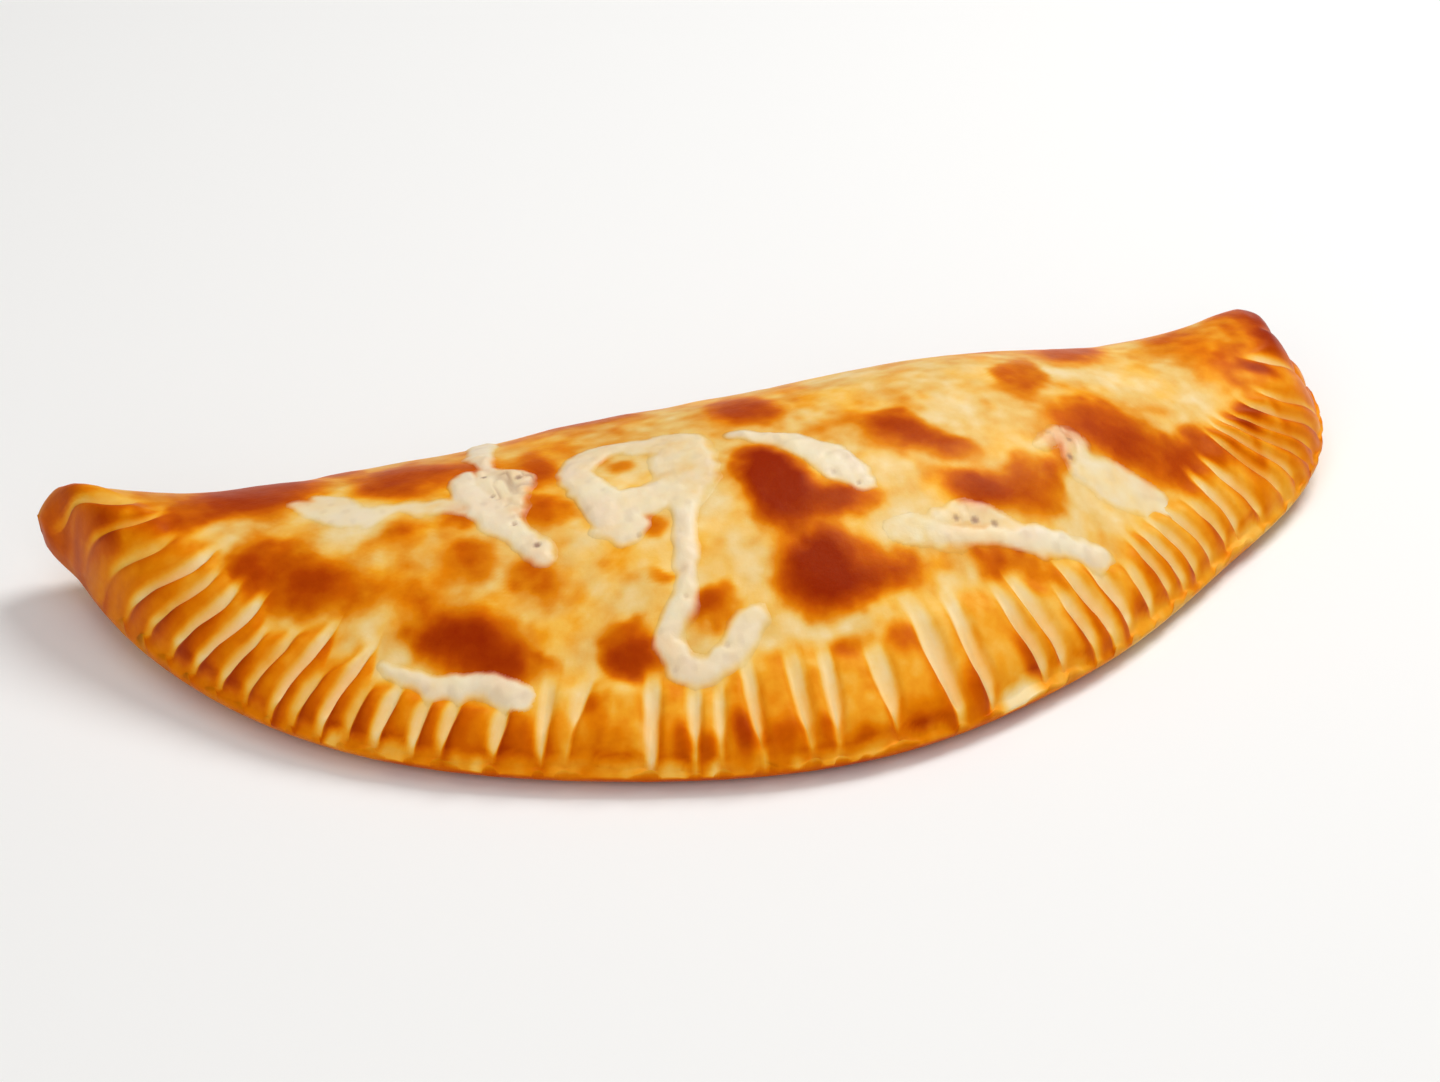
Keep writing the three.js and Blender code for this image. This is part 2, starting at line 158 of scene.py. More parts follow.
@dataclass(frozen=True)
class PieForm:
    """The pie's outline and its two height sheets, from the same sizes as the solid, in millimetres.

    Gauges run round the crimped arc from the left horn to the right horn.

    Attributes:
        half_length: Half the length of the rim's ellipse.
        depth: Depth of the rim's ellipse.
        rim_thickness: Thickness of the crimped edge.
        fold_radius_middle: Height of the middle of the folded edge over the underside, at mid-length.
        fold_radius_horn: The same at the horns.
        fold_undercut: How far in the underside curves up to the fold.
        horn_corners: Depth of the rounded corner behind the left and the right horn.
        horn_corner_length: Length over which those corners are rounded.
        fold_sweeps: How far the folded edge sweeps forward, on the left and on the right.
        thumb_reach: How far the left horn juts out.
        thumb_angle: Spread of that jut round the arc, in radians.
        corner_cuts: How much the left and the right horn's corners are cut.
        corner_angle: Spread of those cuts round the arc, in radians.
        lift_fade: How far in the rim's lift off the table fades out.
        horn_rounding: Length over which the crown falls to a horn.
        crest_place: Place of the crest, as a share of the way from the rim to the fold.
        slope_powers: Powers of the front slope, at its foot and at the crest.
        back_power: Power of the rounded back.
        focus: Point that the surface's rings close on.
        turn_length: Length of rim over which its inward direction turns at a horn.
        rim_evenness: Gauge of the rim's reach, as a share of its ellipse.
        crest_height: Gauge of the crest's height.
        rim_lift: Gauge of the rim's lift off the table.
    """

    half_length: float = 149.0
    depth: float = 127.0
    rim_thickness: float = 7.0
    fold_radius_middle: float = 10.0
    fold_radius_horn: float = 6.0
    fold_undercut: float = 12.0
    horn_corners: tuple[float, float] = (8.0, 5.0)
    horn_corner_length: float = 9.0
    fold_sweeps: tuple[float, float] = (12.0, 16.0)
    thumb_reach: float = 8.0
    thumb_angle: float = 0.06
    corner_cuts: tuple[float, float] = (3.5, 5.0)
    corner_angle: float = 0.05
    lift_fade: float = 30.0
    horn_rounding: float = 8.0
    crest_place: float = 0.6
    slope_powers: tuple[float, float] = (1.15, 2.1)
    back_power: float = 2.2
    focus: tuple[float, float] = (0.0, -45.0)
    turn_length: float = 45.0
    rim_evenness: tuple[float, ...] = (0.945, 0.955, 0.978, 0.98, 0.996, 0.95, 0.927, 0.995, 0.968)
    crest_height: tuple[float, ...] = (22.0, 29.0, 28.5, 34.0, 39.5, 38.5, 28.0, 26.0, 22.0)
    rim_lift: tuple[float, ...] = (13.0, 5.5, 2.5, 1.5, 1.5, 1.5, 1.5, 3.0, 6.0)

    def rim(self, angle: Array) -> tuple[Array, Array]:
        """Points of the crimped arc: an uneven half ellipse that juts out at the left horn, with cut corners.

        Args:
            angle: Angles round the arc, from 0 at the left horn to pi at the right one.

        Returns:
            The points' coordinates.
        """
        even = gauge(self.rim_evenness, angle / math.pi)
        thumb = self.thumb_reach * np.exp(-((angle / self.thumb_angle) ** 2))
        left = thumb - self.corner_cuts[0] * np.exp(-((angle / self.corner_angle) ** 2))
        right = self.corner_cuts[1] * np.exp(-(((math.pi - angle) / self.corner_angle) ** 2))
        return -self.half_length * even * np.cos(angle) - left - right, -self.depth * even * np.sin(angle)

    def ends(self) -> tuple[float, float]:
        """How far the folded edge reaches to the left and to the right."""
        x, _ = self.rim(np.array([0.0, math.pi]))
        return -float(x[0]), float(x[1])

    def station(self, x: Array) -> Array:
        """Angle round the arc of a place along the length."""
        left, right = self.ends()
        return np.arccos(np.clip(-x / np.where(x < 0, left, right), -1.0, 1.0))

    def fold_depth(self, angle: Array) -> Array:
        """Depth of the folded edge: quarter rounds at the horns, swept forward in the middle.

        Args:
            angle: Angles round the arc.

        Returns:
            The depth at each.
        """
        right = (1.0 - np.cos(angle)) / 2.0
        corner, sweep = blend(*self.horn_corners, right), blend(*self.fold_sweeps, right)
        from_horn = self.half_length * (1.0 - np.abs(np.cos(angle)))
        return corner * quarter_round(from_horn / self.horn_corner_length) - sweep * np.sin(angle)

    def fold(self, angle: Array) -> tuple[Array, Array]:
        """Points of the folded edge."""
        left, right = self.ends()
        return -np.where(angle < math.pi / 2, left, right) * np.cos(angle), self.fold_depth(angle)

    def rim_depth(self, x: Array) -> Array:
        """Depth of the rim straight in front of a place along the length."""
        rim_x, rim_y = self.rim(np.linspace(0.0, math.pi, OUTLINE_STEPS))
        return np.interp(x, np.maximum.accumulate(rim_x), rim_y)

    def distance_in(self, x: Array, y: Array) -> Array:
        """Distance in from the rim, from how far out a point lies on the rim's own ellipse.

        Args:
            x: First coordinates of the points.
            y: Their second coordinates.

        Returns:
            The distances.
        """
        front = np.maximum(-y, 0.0)
        angle = np.arctan2(front / self.depth, -x / self.half_length)
        edge_x, edge_y = self.rim(angle)
        reach = np.hypot(edge_x / self.half_length, edge_y / self.depth)
        out = np.hypot(x / self.half_length, front / self.depth) / reach
        return np.maximum(1.0 - out, 0.0) * blend(self.depth, self.half_length, np.cos(angle) ** 2)

    def lift(self, x: Array, y: Array) -> Array:
        """Lift of the underside off the table, fading in from the rim."""
        fade = smooth(1.0 - self.distance_in(x, y) / self.lift_fade)
        return gauge(self.rim_lift, self.station(x) / math.pi) * fade

    def fold_radius(self, x: Array) -> Array:
        """Height of the middle of the folded edge above the underside."""
        return blend(self.fold_radius_horn, self.fold_radius_middle, np.sin(self.station(x)))

    def top(self, x: Array, y: Array) -> Array:
        """Height of the upper crust: a rounded lip, a front slope up to the crest and a rounded back.

        Args:
            x: First coordinates of the points.
            y: Their second coordinates.

        Returns:
            The heights.
        """
        angle = self.station(x)
        near = self.rim_depth(x)
        across = clamp01((y - near) / np.maximum(self.fold_depth(angle) - near, 0.001))
        lift = self.lift(x, y)
        half = self.rim_thickness / 2.0
        lip = lift + half * (1.0 + quarter_round(self.distance_in(x, y) / half))
        foot, brow = self.slope_powers
        rise = 1.0 - (1.0 - clamp01(across / self.crest_place) ** foot) ** brow
        left, right = self.ends()
        to_horn = np.where(x < 0, left + x, right - x) / self.horn_rounding
        crest = gauge(self.crest_height, angle / math.pi)
        slope = lip + (crest - lip) * rise * quarter_round(to_horn)
        beyond = clamp01((across - self.crest_place) / (1.0 - self.crest_place))
        return blend(lift + self.fold_radius(x), slope, np.sqrt(1.0 - beyond**self.back_power))

    def base(self, x: Array, y: Array) -> Array:
        """Height of the underside: flat on the table, lifted under the rim and rounded up to both edges.

        Args:
            x: First coordinates of the points.
            y: Their second coordinates.

        Returns:
            The heights.
        """
        half = self.rim_thickness / 2.0
        under_rim = half * (1.0 - quarter_round(self.distance_in(x, y) / half))
        from_fold = self.fold_depth(self.station(x)) - y
        under_fold = self.fold_radius(x) * (1.0 - quarter_round(from_fold / self.fold_undercut))
        return self.lift(x, y) + np.maximum(under_rim, under_fold)

    def centre(self) -> tuple[float, float]:
        """Middle of the outline's extent, which is the origin of the part's frame.

        Returns:
            Its coordinates in the shaping frame.
        """
        angle = np.linspace(0.0, math.pi, OUTLINE_STEPS)
        x, y = (np.concatenate(pair) for pair in zip(self.rim(angle), self.fold(angle)))
        return (x.min() + x.max()) / 2.0, (y.min() + y.max()) / 2.0


class RimLine:
    """The rim measured by arc length from the left horn, with the direction in from it.

    Attributes:
        STEPS: Points that the rim is measured at.
        SKIP: Every how many of them a nearest point is looked for.
        BATCH: How many places are looked up at a time.
    """

    STEPS = 4001
    SKIP = 4
    BATCH = 4000

    def __init__(self, form: PieForm) -> None:
        """Measure the rim of a form.

        The direction in is square to the rim, and turns to the form's focus towards a horn.

        Args:
            form: The pie's form.
        """
        angle = np.linspace(0.0, math.pi, self.STEPS)
        self.x, self.y = form.rim(angle)
        steps = np.hypot(np.diff(self.x), np.diff(self.y))
        self.arc = np.concatenate([[0.0], np.cumsum(steps)])
        self.length = float(self.arc[-1])
        tangent_x, tangent_y = np.gradient(self.x, self.arc), np.gradient(self.y, self.arc)
        to_x, to_y = form.focus[0] - self.x, form.focus[1] - self.y
        size = np.hypot(to_x, to_y)
        turn = smooth(np.minimum(self.arc, self.length - self.arc) / form.turn_length)
        in_x, in_y = blend(to_x / size, -tangent_y, turn), blend(to_y / size, tangent_x, turn)
        size = np.hypot(in_x, in_y)
        self.in_x, self.in_y = in_x / size, in_y / size

    def point(self, along: Array, inwards: Array) -> tuple[Array, Array]:
        """Point at an arc length along the rim and a distance in from it."""
        x, y, in_x, in_y = (np.interp(along, self.arc, row) for row in (self.x, self.y, self.in_x, self.in_y))
        return x + in_x * inwards, y + in_y * inwards

    def locate(self, x: Array, y: Array) -> tuple[Array, Array]:
        """Arc length and distance in of points, from the nearest of the rim's own points.

        Args:
            x: First coordinates of the points.
            y: Their second coordinates.

        Returns:
            The arc lengths and the distances.
        """
        nearest = np.empty(x.shape, int)
        distance = np.empty(x.shape)
        rim_x, rim_y = self.x[None, :: self.SKIP], self.y[None, :: self.SKIP]
        for part in np.array_split(np.arange(x.size), max(x.size // self.BATCH, 1)):
            apart = (x[part, None] - rim_x) ** 2 + (y[part, None] - rim_y) ** 2
            nearest[part] = apart.argmin(1) * self.SKIP
            distance[part] = np.sqrt(apart.min(1))
        return self.arc[nearest], distance


@dataclass(frozen=True)
class ForkMark:
    """One mark of the fork, in millimetres.

    Attributes:
        at: Place along the rim from the left horn.
        lean: How far it leans sideways at its inner end.
        reach: How far it runs in from the edge.
        bite: Its depth.
        floor: Width of its pale floor at the inner end. The floor narrows to a point at the edge.
        pale: How pale the floor stays in the oven.
        start: How much further in its floor starts than its neighbours'.
    """

    at: float
    lean: float
    reach: float
    bite: float
    floor: float
    pale: float
    start: float = 0.0


FORK_ROWS = (
    (4, 14.5, 12, 1.0, 2.2, 0.6), (18, 9.5, 15, 1.2, 2.0, 0.55), (27, 10, 13, 1.2, 1.8, 0.5),
    (36.2, 12.2, 17, 2.8, 2.9, 1.0), (44.0, 9.6, 14.5, 2.2, 2.0, 0.7), (51.8, 8.6, 14.5, 2.4, 2.3, 0.95),
    (59, 9, 15.5, 2.8, 3.2, 1.0), (67.2, 5.5, 10, 2.2, 2.2, 0.9), (74.5, 5.5, 13, 1.8, 1.6, 0.65),
    (82.5, 6, 18, 2.7, 3.2, 1.0), (87.8, 3.4, 8, 1.6, 1.5, 0.7), (94.5, 6.0, 17.5, 2.7, 3.4, 1.0),
    (99.8, 3.2, 8.5, 1.4, 1.2, 0.6), (106.6, 3.2, 10, 2.3, 3.0, 0.95), (115, 2, 8.5, 2.2, 2.6, 0.95),
    (121, 2.2, 9, 2.2, 2.2, 0.9), (132, 2.2, 8.5, 2.2, 2.8, 0.85, -1.5),
    (142, 1, 15, 1.8, 2.2, 0.85, -1.0), (146.8, 5.0, 15.6, 1.4, 2.6, 0.8, 2.6),
    (164.9, 0.4, 15.4, 3.4, 3.6, 1.0, -4.0), (174, 0.8, 13.5, 2.3, 2.6, 0.9),
    (179.6, 0.5, 12.5, 1.7, 2.0, 0.8), (188.6, -2, 17.5, 2.5, 2.6, 0.95),
    (198.9, -1.3, 19, 2.3, 2.2, 0.85), (204.4, 2.2, 18.5, 2.6, 3.2, 1.0),
    (218.2, 0.4, 15.5, 2.6, 5.2, 1.0, -1.0), (232.4, 1.6, 21, 3.1, 4.8, 1.0, -2.5),
    (241.1, 2.6, 19.5, 2.9, 4.2, 1.0, -1.6), (256.8, -0.8, 17, 2.6, 3.0, 0.9),
    (262.6, -2, 17.5, 2.7, 3.2, 1.0), (271, -0.8, 12, 2.1, 2.2, 0.75), (277, -2.6, 16, 2.5, 2.4, 0.85),
    (283.2, -0.6, 12.5, 2.5, 4.0, 1.0), (292, 0.2, 9, 1.8, 3.0, 0.75), (299.4, -1.6, 12, 2.2, 1.8, 0.85),
    (304.9, -2.8, 11.5, 2.2, 2.2, 0.9), (310.6, -4, 12, 2.1, 1.8, 0.8), (317.3, -5.6, 12, 2.0, 2.2, 0.75),
    (324.6, -4, 11, 2.0, 1.6, 0.75), (330, -2.8, 13.5, 2.4, 2.6, 0.95), (338.8, -5.3, 14.5, 2.4, 2.8, 0.9),
    (348.4, -7.2, 18, 2.2, 2.0, 0.75), (355.6, -10.6, 18, 2.2, 1.6, 0.85),
    (362.4, -14, 18, 2.2, 1.6, 0.85), (368.8, -15.5, 17, 2.2, 1.6, 0.85), (375.8, -16, 17, 2.3, 2.0, 0.85),
    (383, -15, 14.5, 2.1, 1.8, 0.7), (396.5, -15.5, 18, 2.4, 2.4, 1.0), (409, -9, 12, 1.2, 1.2, 0.25),
)
FORK_MARKS = tuple(ForkMark(*row) for row in FORK_ROWS)


class Crimping:
    """The fork marks read at places along the rim: pillowed ridges between wedges with pale floors.

    The gauges run along the rim from the left horn to the right horn.

    Attributes:
        ROOM: Widest room for the two shoulders between two floors.
        PUFF: Height of the puff between two marks.
        NOTCH: Depth of the nicks in the edge.
        SINK: How far in the grooves reach their depth.
        FLOOR_WIDTH: Share of a floor's width on either side of its mark.
        FLOOR_LIMIT: Widest floor, as a share of the gap between two marks.
        SKEW: How much a slant moves the shoulders.
        WANDER: Grain that bends the marks.
        TIPS: Gauge of how far in the floors start.
        TAPERS: Gauge of how much the floors narrow at their inner ends.
        BENDS: Gauge of how the marks bend as they run in.
        TILTS: Gauge of how far the fork was held aslant.
    """

    ROOM = 5.2
    PUFF = 1.2
    NOTCH = 0.3
    SINK = 4.0
    FLOOR_WIDTH = 0.28
    FLOOR_LIMIT = 0.45
    SKEW = 0.22
    WANDER = ((0.25, 6.0, 15), (0.12, 2.2, 16))
    TIPS = (1.0, 0.3, 0.4, 4.2, 4.0, 0.7, 0.8, 1.2, 2.0)
    TAPERS = (0.5, 0.35, 0.5, 0.1, 0.0, 0.2, 0.6, 0.8, 0.8)
    BENDS = (1.8, 1.4, -0.2, 0.0, 0.2, -0.4, -0.5, 0.75, 0.75)
    TILTS = (0.2, 0.9, 0.9, 0.4, -0.1, -0.9, -0.4, -0.6, -0.6)

    def __init__(self, marks: Sequence[ForkMark], length: float, seed: int = 11) -> None:
        """Close the row with a mark without depth at each horn, and draw what varies from mark to mark.

        Args:
            marks: The fork marks, from left to right.
            length: The rim's length.
            seed: Seed of what is drawn.
        """
        ends = (ForkMark(0, 0, 10, 0, 0, 0), ForkMark(length, -8, 10, 0, 0, 0))
        table = np.array([astuple(mark) for mark in (ends[0], *marks, ends[1])], float)
        self.length = length
        self.at, self.lean, self.reach, self.bite, self.floor, self.pale, start = table.T
        drawn = np.random.default_rng(seed)
        self.fat = drawn.uniform(0.75, 1.25, len(self.at))
        tip = gauge(self.TIPS, self.at / length) + drawn.uniform(-0.6, 0.9, len(self.at))
        self.tip = np.maximum(tip + start, 0.0)
        self.lip = drawn.uniform(-0.5, 1.3, len(self.at)).clip(0.0, 1.0)

    def span(self, along: Array) -> tuple[Array, Array, Array]:
        """The marks before and after each place, and its share of the way between them.

        Args:
            along: Places along the rim.

        Returns:
            The two marks' numbers and the share.
        """
        after = np.clip(np.searchsorted(self.at, along, side="right"), 1, len(self.at) - 1)
        before = after - 1
        return before, after, clamp01((along - self.at[before]) / (self.at[after] - self.at[before]))

    def between(self, values: Array, along: Array) -> Array:
        """A value of the marks, read between the two marks round each place."""
        before, after, share = self.span(along)
        return blend(values[before], values[after], share)

    def leaned(self, along: Array, inwards: Array) -> Array:
        """Places moved sideways by the lean of the marks, which bend as they run in.

        Args:
            along: Places along the rim, in millimetres.
            inwards: Distances in from it.

        Returns:
            The moved places along the rim.
        """
        share = clamp01(inwards / self.between(self.reach, along))
        bend = gauge(self.BENDS, along / self.length)
        return along + self.between(self.lean, along) * share * (1.0 + bend * (1.0 - share))

    def half_floor(self, mark: Array, gap: Array, inwards: Array) -> Array:
        """Half the width of a mark's floor: none at its outer tip, growing inwards, then tapering again.

        Args:
            mark: Numbers of the marks.
            gap: Distances to the next marks.
            inwards: Distances in from the rim.

        Returns:
            The half widths.
        """
        run = clamp01((inwards - self.tip[mark]) / np.maximum(self.reach[mark] - self.tip[mark], 1.0))
        taper = gauge(self.TAPERS, self.at[mark] / self.length) * smooth((run - 0.62) / 0.38)
        width = np.minimum(self.floor[mark], self.FLOOR_LIMIT * gap) * np.minimum(1.6 * run, 1.0)
        return self.FLOOR_WIDTH * width * (1.0 - taper)

    def beside(self, along: Array, inwards: Array) -> tuple[Array, Array, Array]:
        """The nearest mark, how far up its shoulder a place lies, and how much it lies by a steep foot.

        The two shoulders between neighbouring floors share the room there, and where the fork was held
        aslant the steep one takes the smaller share. A place is 0 up on the floor and 1 up on the ridge.

        Args:
            along: Places along the rim, in millimetres.
            inwards: Distances in from it.

        Returns:
            The mark's number, the share up its shoulder and the nearness to a steep foot.
        """
        along = along + uneven(self.WANDER, along, inwards)
        before, after, share = self.span(along)
        gap = self.at[after] - self.at[before]
        tilt = gauge(self.TILTS, along / self.length)
        first, second = self.half_floor(before, gap, inwards), self.half_floor(after, gap, inwards)
        room = np.clip(gap - first - second, 1.0, self.ROOM)
        off_first = np.maximum(share * gap - first, 0.0)
        off_second = np.maximum((1.0 - share) * gap - second, 0.0)
        up_first = off_first / (room * (0.5 - self.SKEW * tilt))
        up_second = off_second / (room * (0.5 + self.SKEW * tilt))
        nearer = up_first < up_second
        feet = [smooth(off / 0.8) * np.exp(-((off / 2.4) ** 2)) for off in (off_first, off_second)]
        foot = clamp01(0.25 + tilt) * feet[0] + clamp01(0.25 - tilt) * feet[1]
        return np.where(nearer, before, after), np.minimum(up_first, up_second), foot

    def relief(self, along: Array, inwards: Array) -> Array:
        """Height of the crimping: shoulders up from each floor, and a puff between two of them.

        Ridges end in round fingertips at the reach of their marks, where the floors rise to the crown.

        Args:
            along: Places along the rim, in millimetres.
            inwards: Distances in from it.

        Returns:
            The heights to add to the crown's.
        """
        mark, up, _ = self.beside(along, inwards)
        _, _, share = self.span(along)
        reach = self.between(self.reach, along)
        out = smooth(inwards / self.SINK)
        flank = 0.45 * quarter_round(up) + 0.55 * smooth(up)
        groove = self.bite[mark] * (1.0 - flank) * out
        groove = groove * (1.0 - smooth((inwards / reach - 0.45) / 0.6))
        bulge = self.PUFF * self.between(self.fat, along) * (1.0 - np.abs(2.0 * share - 1.0) ** 2.5)
        bulge = bulge * (1.0 - smooth((inwards / reach - 0.72) / 0.36)) * blend(0.7, 1.0, out)
        return bulge - groove

    def notches(self, along: Array) -> Array:
        """How far in the edge is nicked at each mark."""
        mark, up, _ = self.beside(along, 0.0 * along)
        return self.NOTCH * clamp01(0.35 * self.bite[mark]) * (1.0 - smooth(up))

    def ridges(self, along: Array, inwards: Array) -> Array:
        """How much a place lies on a ridge, from 0 to 1, with round inner ends.

        Args:
            along: Places along the rim, in millimetres.
            inwards: Distances in from it.

        Returns:
            The shares.
        """
        _, up, _ = self.beside(along, inwards)
        _, _, share = self.span(along)
        end = self.between(self.reach, along) * (1.0 - 0.3 * np.abs(2.0 * share - 1.0) ** 3) + 1.0
        return smooth(0.05 + 1.7 * up) * smooth((end - inwards) / 4.0 + 0.5)

    def paleness(self, along: Array, inwards: Array) -> Array:
        """How pale the floors are, from 0 to 1: most on a floor, from its tip in to near its reach.

        Args:
            along: Places along the rim, in millimetres.
            inwards: Distances in from it.

        Returns:
            The paleness.
        """
        mark, up, _ = self.beside(along, inwards)
        run = smooth((inwards - self.tip[mark] + 0.8) / 3.0)
        shown = 1.0 - smooth((inwards / self.reach[mark] - 0.8) / 0.4)
        return self.pale[mark] * run * shown * (1.0 - smooth(1.5 * up))

    def steep_foot_shade(self, along: Array, inwards: Array) -> Array:
        """Painted crease shade, partly darker baking, at the foot of a steep shoulder, from 0 to 1, most near
        the edge.

        Args:
            along: Places along the rim, in millimetres.
            inwards: Distances in from it.

        Returns:
            The shares.
        """
        _, _, foot = self.beside(along, inwards)
        reach = self.between(self.reach, along)
        shown = 1.0 - smooth((inwards / reach - 0.8) / 0.4)
        return foot * (1.0 - 0.6 * smooth((inwards - 3.0) / 9.0)) * shown

    def lips(self, along: Array) -> Array:
        """How far the lower dough's lip shows pale under each ridge, from 0 to 1, in crescents."""
        before, _, share = self.span(along)
        return self.lip[before] * smooth(3.0 * np.minimum(share, 1.0 - share))


class Tone(Enum):
    """What a mark on the crust does to its colour."""

    BROWN = "brown"
    PALE = "pale"


@dataclass(frozen=True)
class Mark:
    """One oval mark on the crust, in millimetres.

    Attributes:
        x: Place of its middle along the length.
        y: Place of its middle from front to back.
        half_length: Half of its longer axis.
        half_width: Half of its shorter axis.
        turn: Turn of the longer axis from the length, in degrees.
        strength: How strong it is, from 0 to 1.
        tone: What it does to the colour.
    """

    x: float
    y: float
    half_length: float
    half_width: float
    turn: float
    strength: float
    tone: Tone = Tone.BROWN

    def cover(self, x: Array, y: Array) -> Array:
        """How much of the mark lies at points: 1 in the middle, 0.5 on its outline and 0 outside.

        Args:
            x: First coordinates of the points.
            y: Their second coordinates.

        Returns:
            The cover, times the mark's strength.
        """
        c, s = math.cos(math.radians(self.turn)), math.sin(math.radians(self.turn))
        u, v = x - self.x, y - self.y
        out = np.hypot((u * c + v * s) / self.half_length, (v * c - u * s) / self.half_width)
        soft = min(9.0 / self.half_width, 1.6)
        return self.strength * smooth((1.0 - out) / soft + 0.5)


def ovals(tone: Tone, rows: Sequence[tuple[float, ...]]) -> tuple[Mark, ...]:
    """Marks of one tone, from rows of x, y, half length, half width, turn and strength."""
    return tuple(Mark(*row, tone) for row in rows)


# Baked spots and pale places of the crown, each an oval listed one by one.
BROWN_OVALS = (
    (-104, -52, 11, 8, -52, 0.53), (-96.5, -60, 9, 6.5, -35, 0.54), (-110, -46, 4, 4, 0, 0.4),
    (-118, -26, 9, 4.5, 10, 0.35), (-78, -51, 4.5, 5, 0, 0.4), (-65.5, -53.5, 4, 3, -30, 0.5),
    (-76, -63, 14, 10, -20, 0.15), (-68, -66, 5, 4, -20, 0.35), (-88, -53, 4, 3, 0, 0.2),
    (-57.5, -74, 3.8, 4.2, 0, 0.48), (-47.5, -59, 5, 4.2, 0, 0.42), (-46, -42, 5, 7.5, 0, 0.6),
    (-74.5, -82.5, 9, 6.2, -28, 0.9), (-71, -90, 6.5, 5.2, -30, 0.78), (-79, -79.5, 5, 4, -10, 0.4),
    (-61, -94.5, 2.8, 2.6, -30, 0.5), (-42.8, -98, 4.4, 5.2, 0, 0.86), (-24.5, -94.6, 4.6, 3.4, 0, 0.72),
    (-33, -84.6, 2, 1.6, 0, 0.35), (-41, -92, 2, 1.6, 0, 0.3), (-31, -52.5, 2.6, 3, 0, 0.42),
    (-84, -71, 7, 5, -20, 0.22), (-29.5, -72.5, 3, 2.6, 0, 0.5), (-42, -79, 3, 2, 0, 0.2),
    (-2, -69, 7, 10.5, 5, 1.0), (5, -77, 9, 5, -12, 0.8), (12.5, -79, 5, 3.4, -5, 0.6),
    (0, -92, 9.5, 8.5, 0, 1.0), (13, -95.5, 9.5, 5, -8, 0.64), (43, -79, 7.5, 4.4, -4, 0.86),
    (53, -79.5, 7, 6, 0, 0.55), (61.5, -73, 5, 3, 55, 0.5), (66, -67, 4, 3.6, 0, 0.4),
    (75.5, -59.5, 13, 7.4, 4, 0.62), (87, -66, 13, 7, -10, 0.62), (102, -61, 9.5, 4.5, 2, 0.55),
    (32, -62, 10, 4.4, -36, 0.74), (26, -63, 5, 6, 0, 0.35), (15, -53, 5, 3.4, 0, 0.3),
    (3, -40, 6.6, 8.6, 0, 0.64), (65, -42, 5, 9, -10, 0.52), (60, -49, 5, 4, 0, 0.35),
    (85, -24, 13, 5.5, 57, 0.56), (86, -9, 14, 3, 8, 0.5), (18, -10, 11, 4, 0, 0.55),
    (-100, -20, 13, 13, 0, 0.74), (-72, -31, 9, 8, -20, 0.62), (-59, -35, 7, 7, 0, 0.56),
    (-80, -14, 3.5, 8, 0, 0.45), (-24, -18, 13, 10, 0, 0.38), (-136, -22, 5, 4, 40, 0.25),
    (-140, -8, 6, 8, 0, 0.25), (132, -8, 10, 12, 0, 0.3), (141, -8, 6, 12, 0, 0.6),
    (112, -30, 10, 14, 15, 0.12), (40, -95, 6, 4, 20, 0.3), (50, -96.5, 6, 4, -10, 0.25),
    (-12, -107, 8, 3, 0, 0.25),
)
PALE_OVALS = (
    (22, -84, 10, 5, 0, 0.9), (22, -72, 3.5, 6, -20, 0.7), (-15.5, -69, 3.5, 6, 0, 0.7),
    (-29.5, -55, 5, 6, 0, 0.7), (-27.5, -99, 4, 2.5, 20, 0.7), (48, -57, 11, 9, 0, 0.75),
    (50, -38, 14, 14, 0, 0.55), (28, -30, 8, 11, 0, 0.65), (38, -70, 9, 4, 0, 0.36),
    (52, -68, 8, 4, -15, 0.44), (92, -45, 13, 7, -10, 0.45), (77, -76, 12, 6.5, -12, 0.6),
    (-89, -37, 12, 8.5, -50, 0.85), (-72, -46.5, 9, 4, -30, 0.6), (-46, -71, 7, 6, 0, 0.35),
    (-44, -88, 9, 5, 0, 0.35), (-12, -84, 7, 8, 0, 0.5), (2, -104, 22, 4, 0, 0.42),
    (-8, -28, 6, 12, 0, 0.3),
)
MARKS = ovals(Tone.BROWN, BROWN_OVALS) + ovals(Tone.PALE, PALE_OVALS)
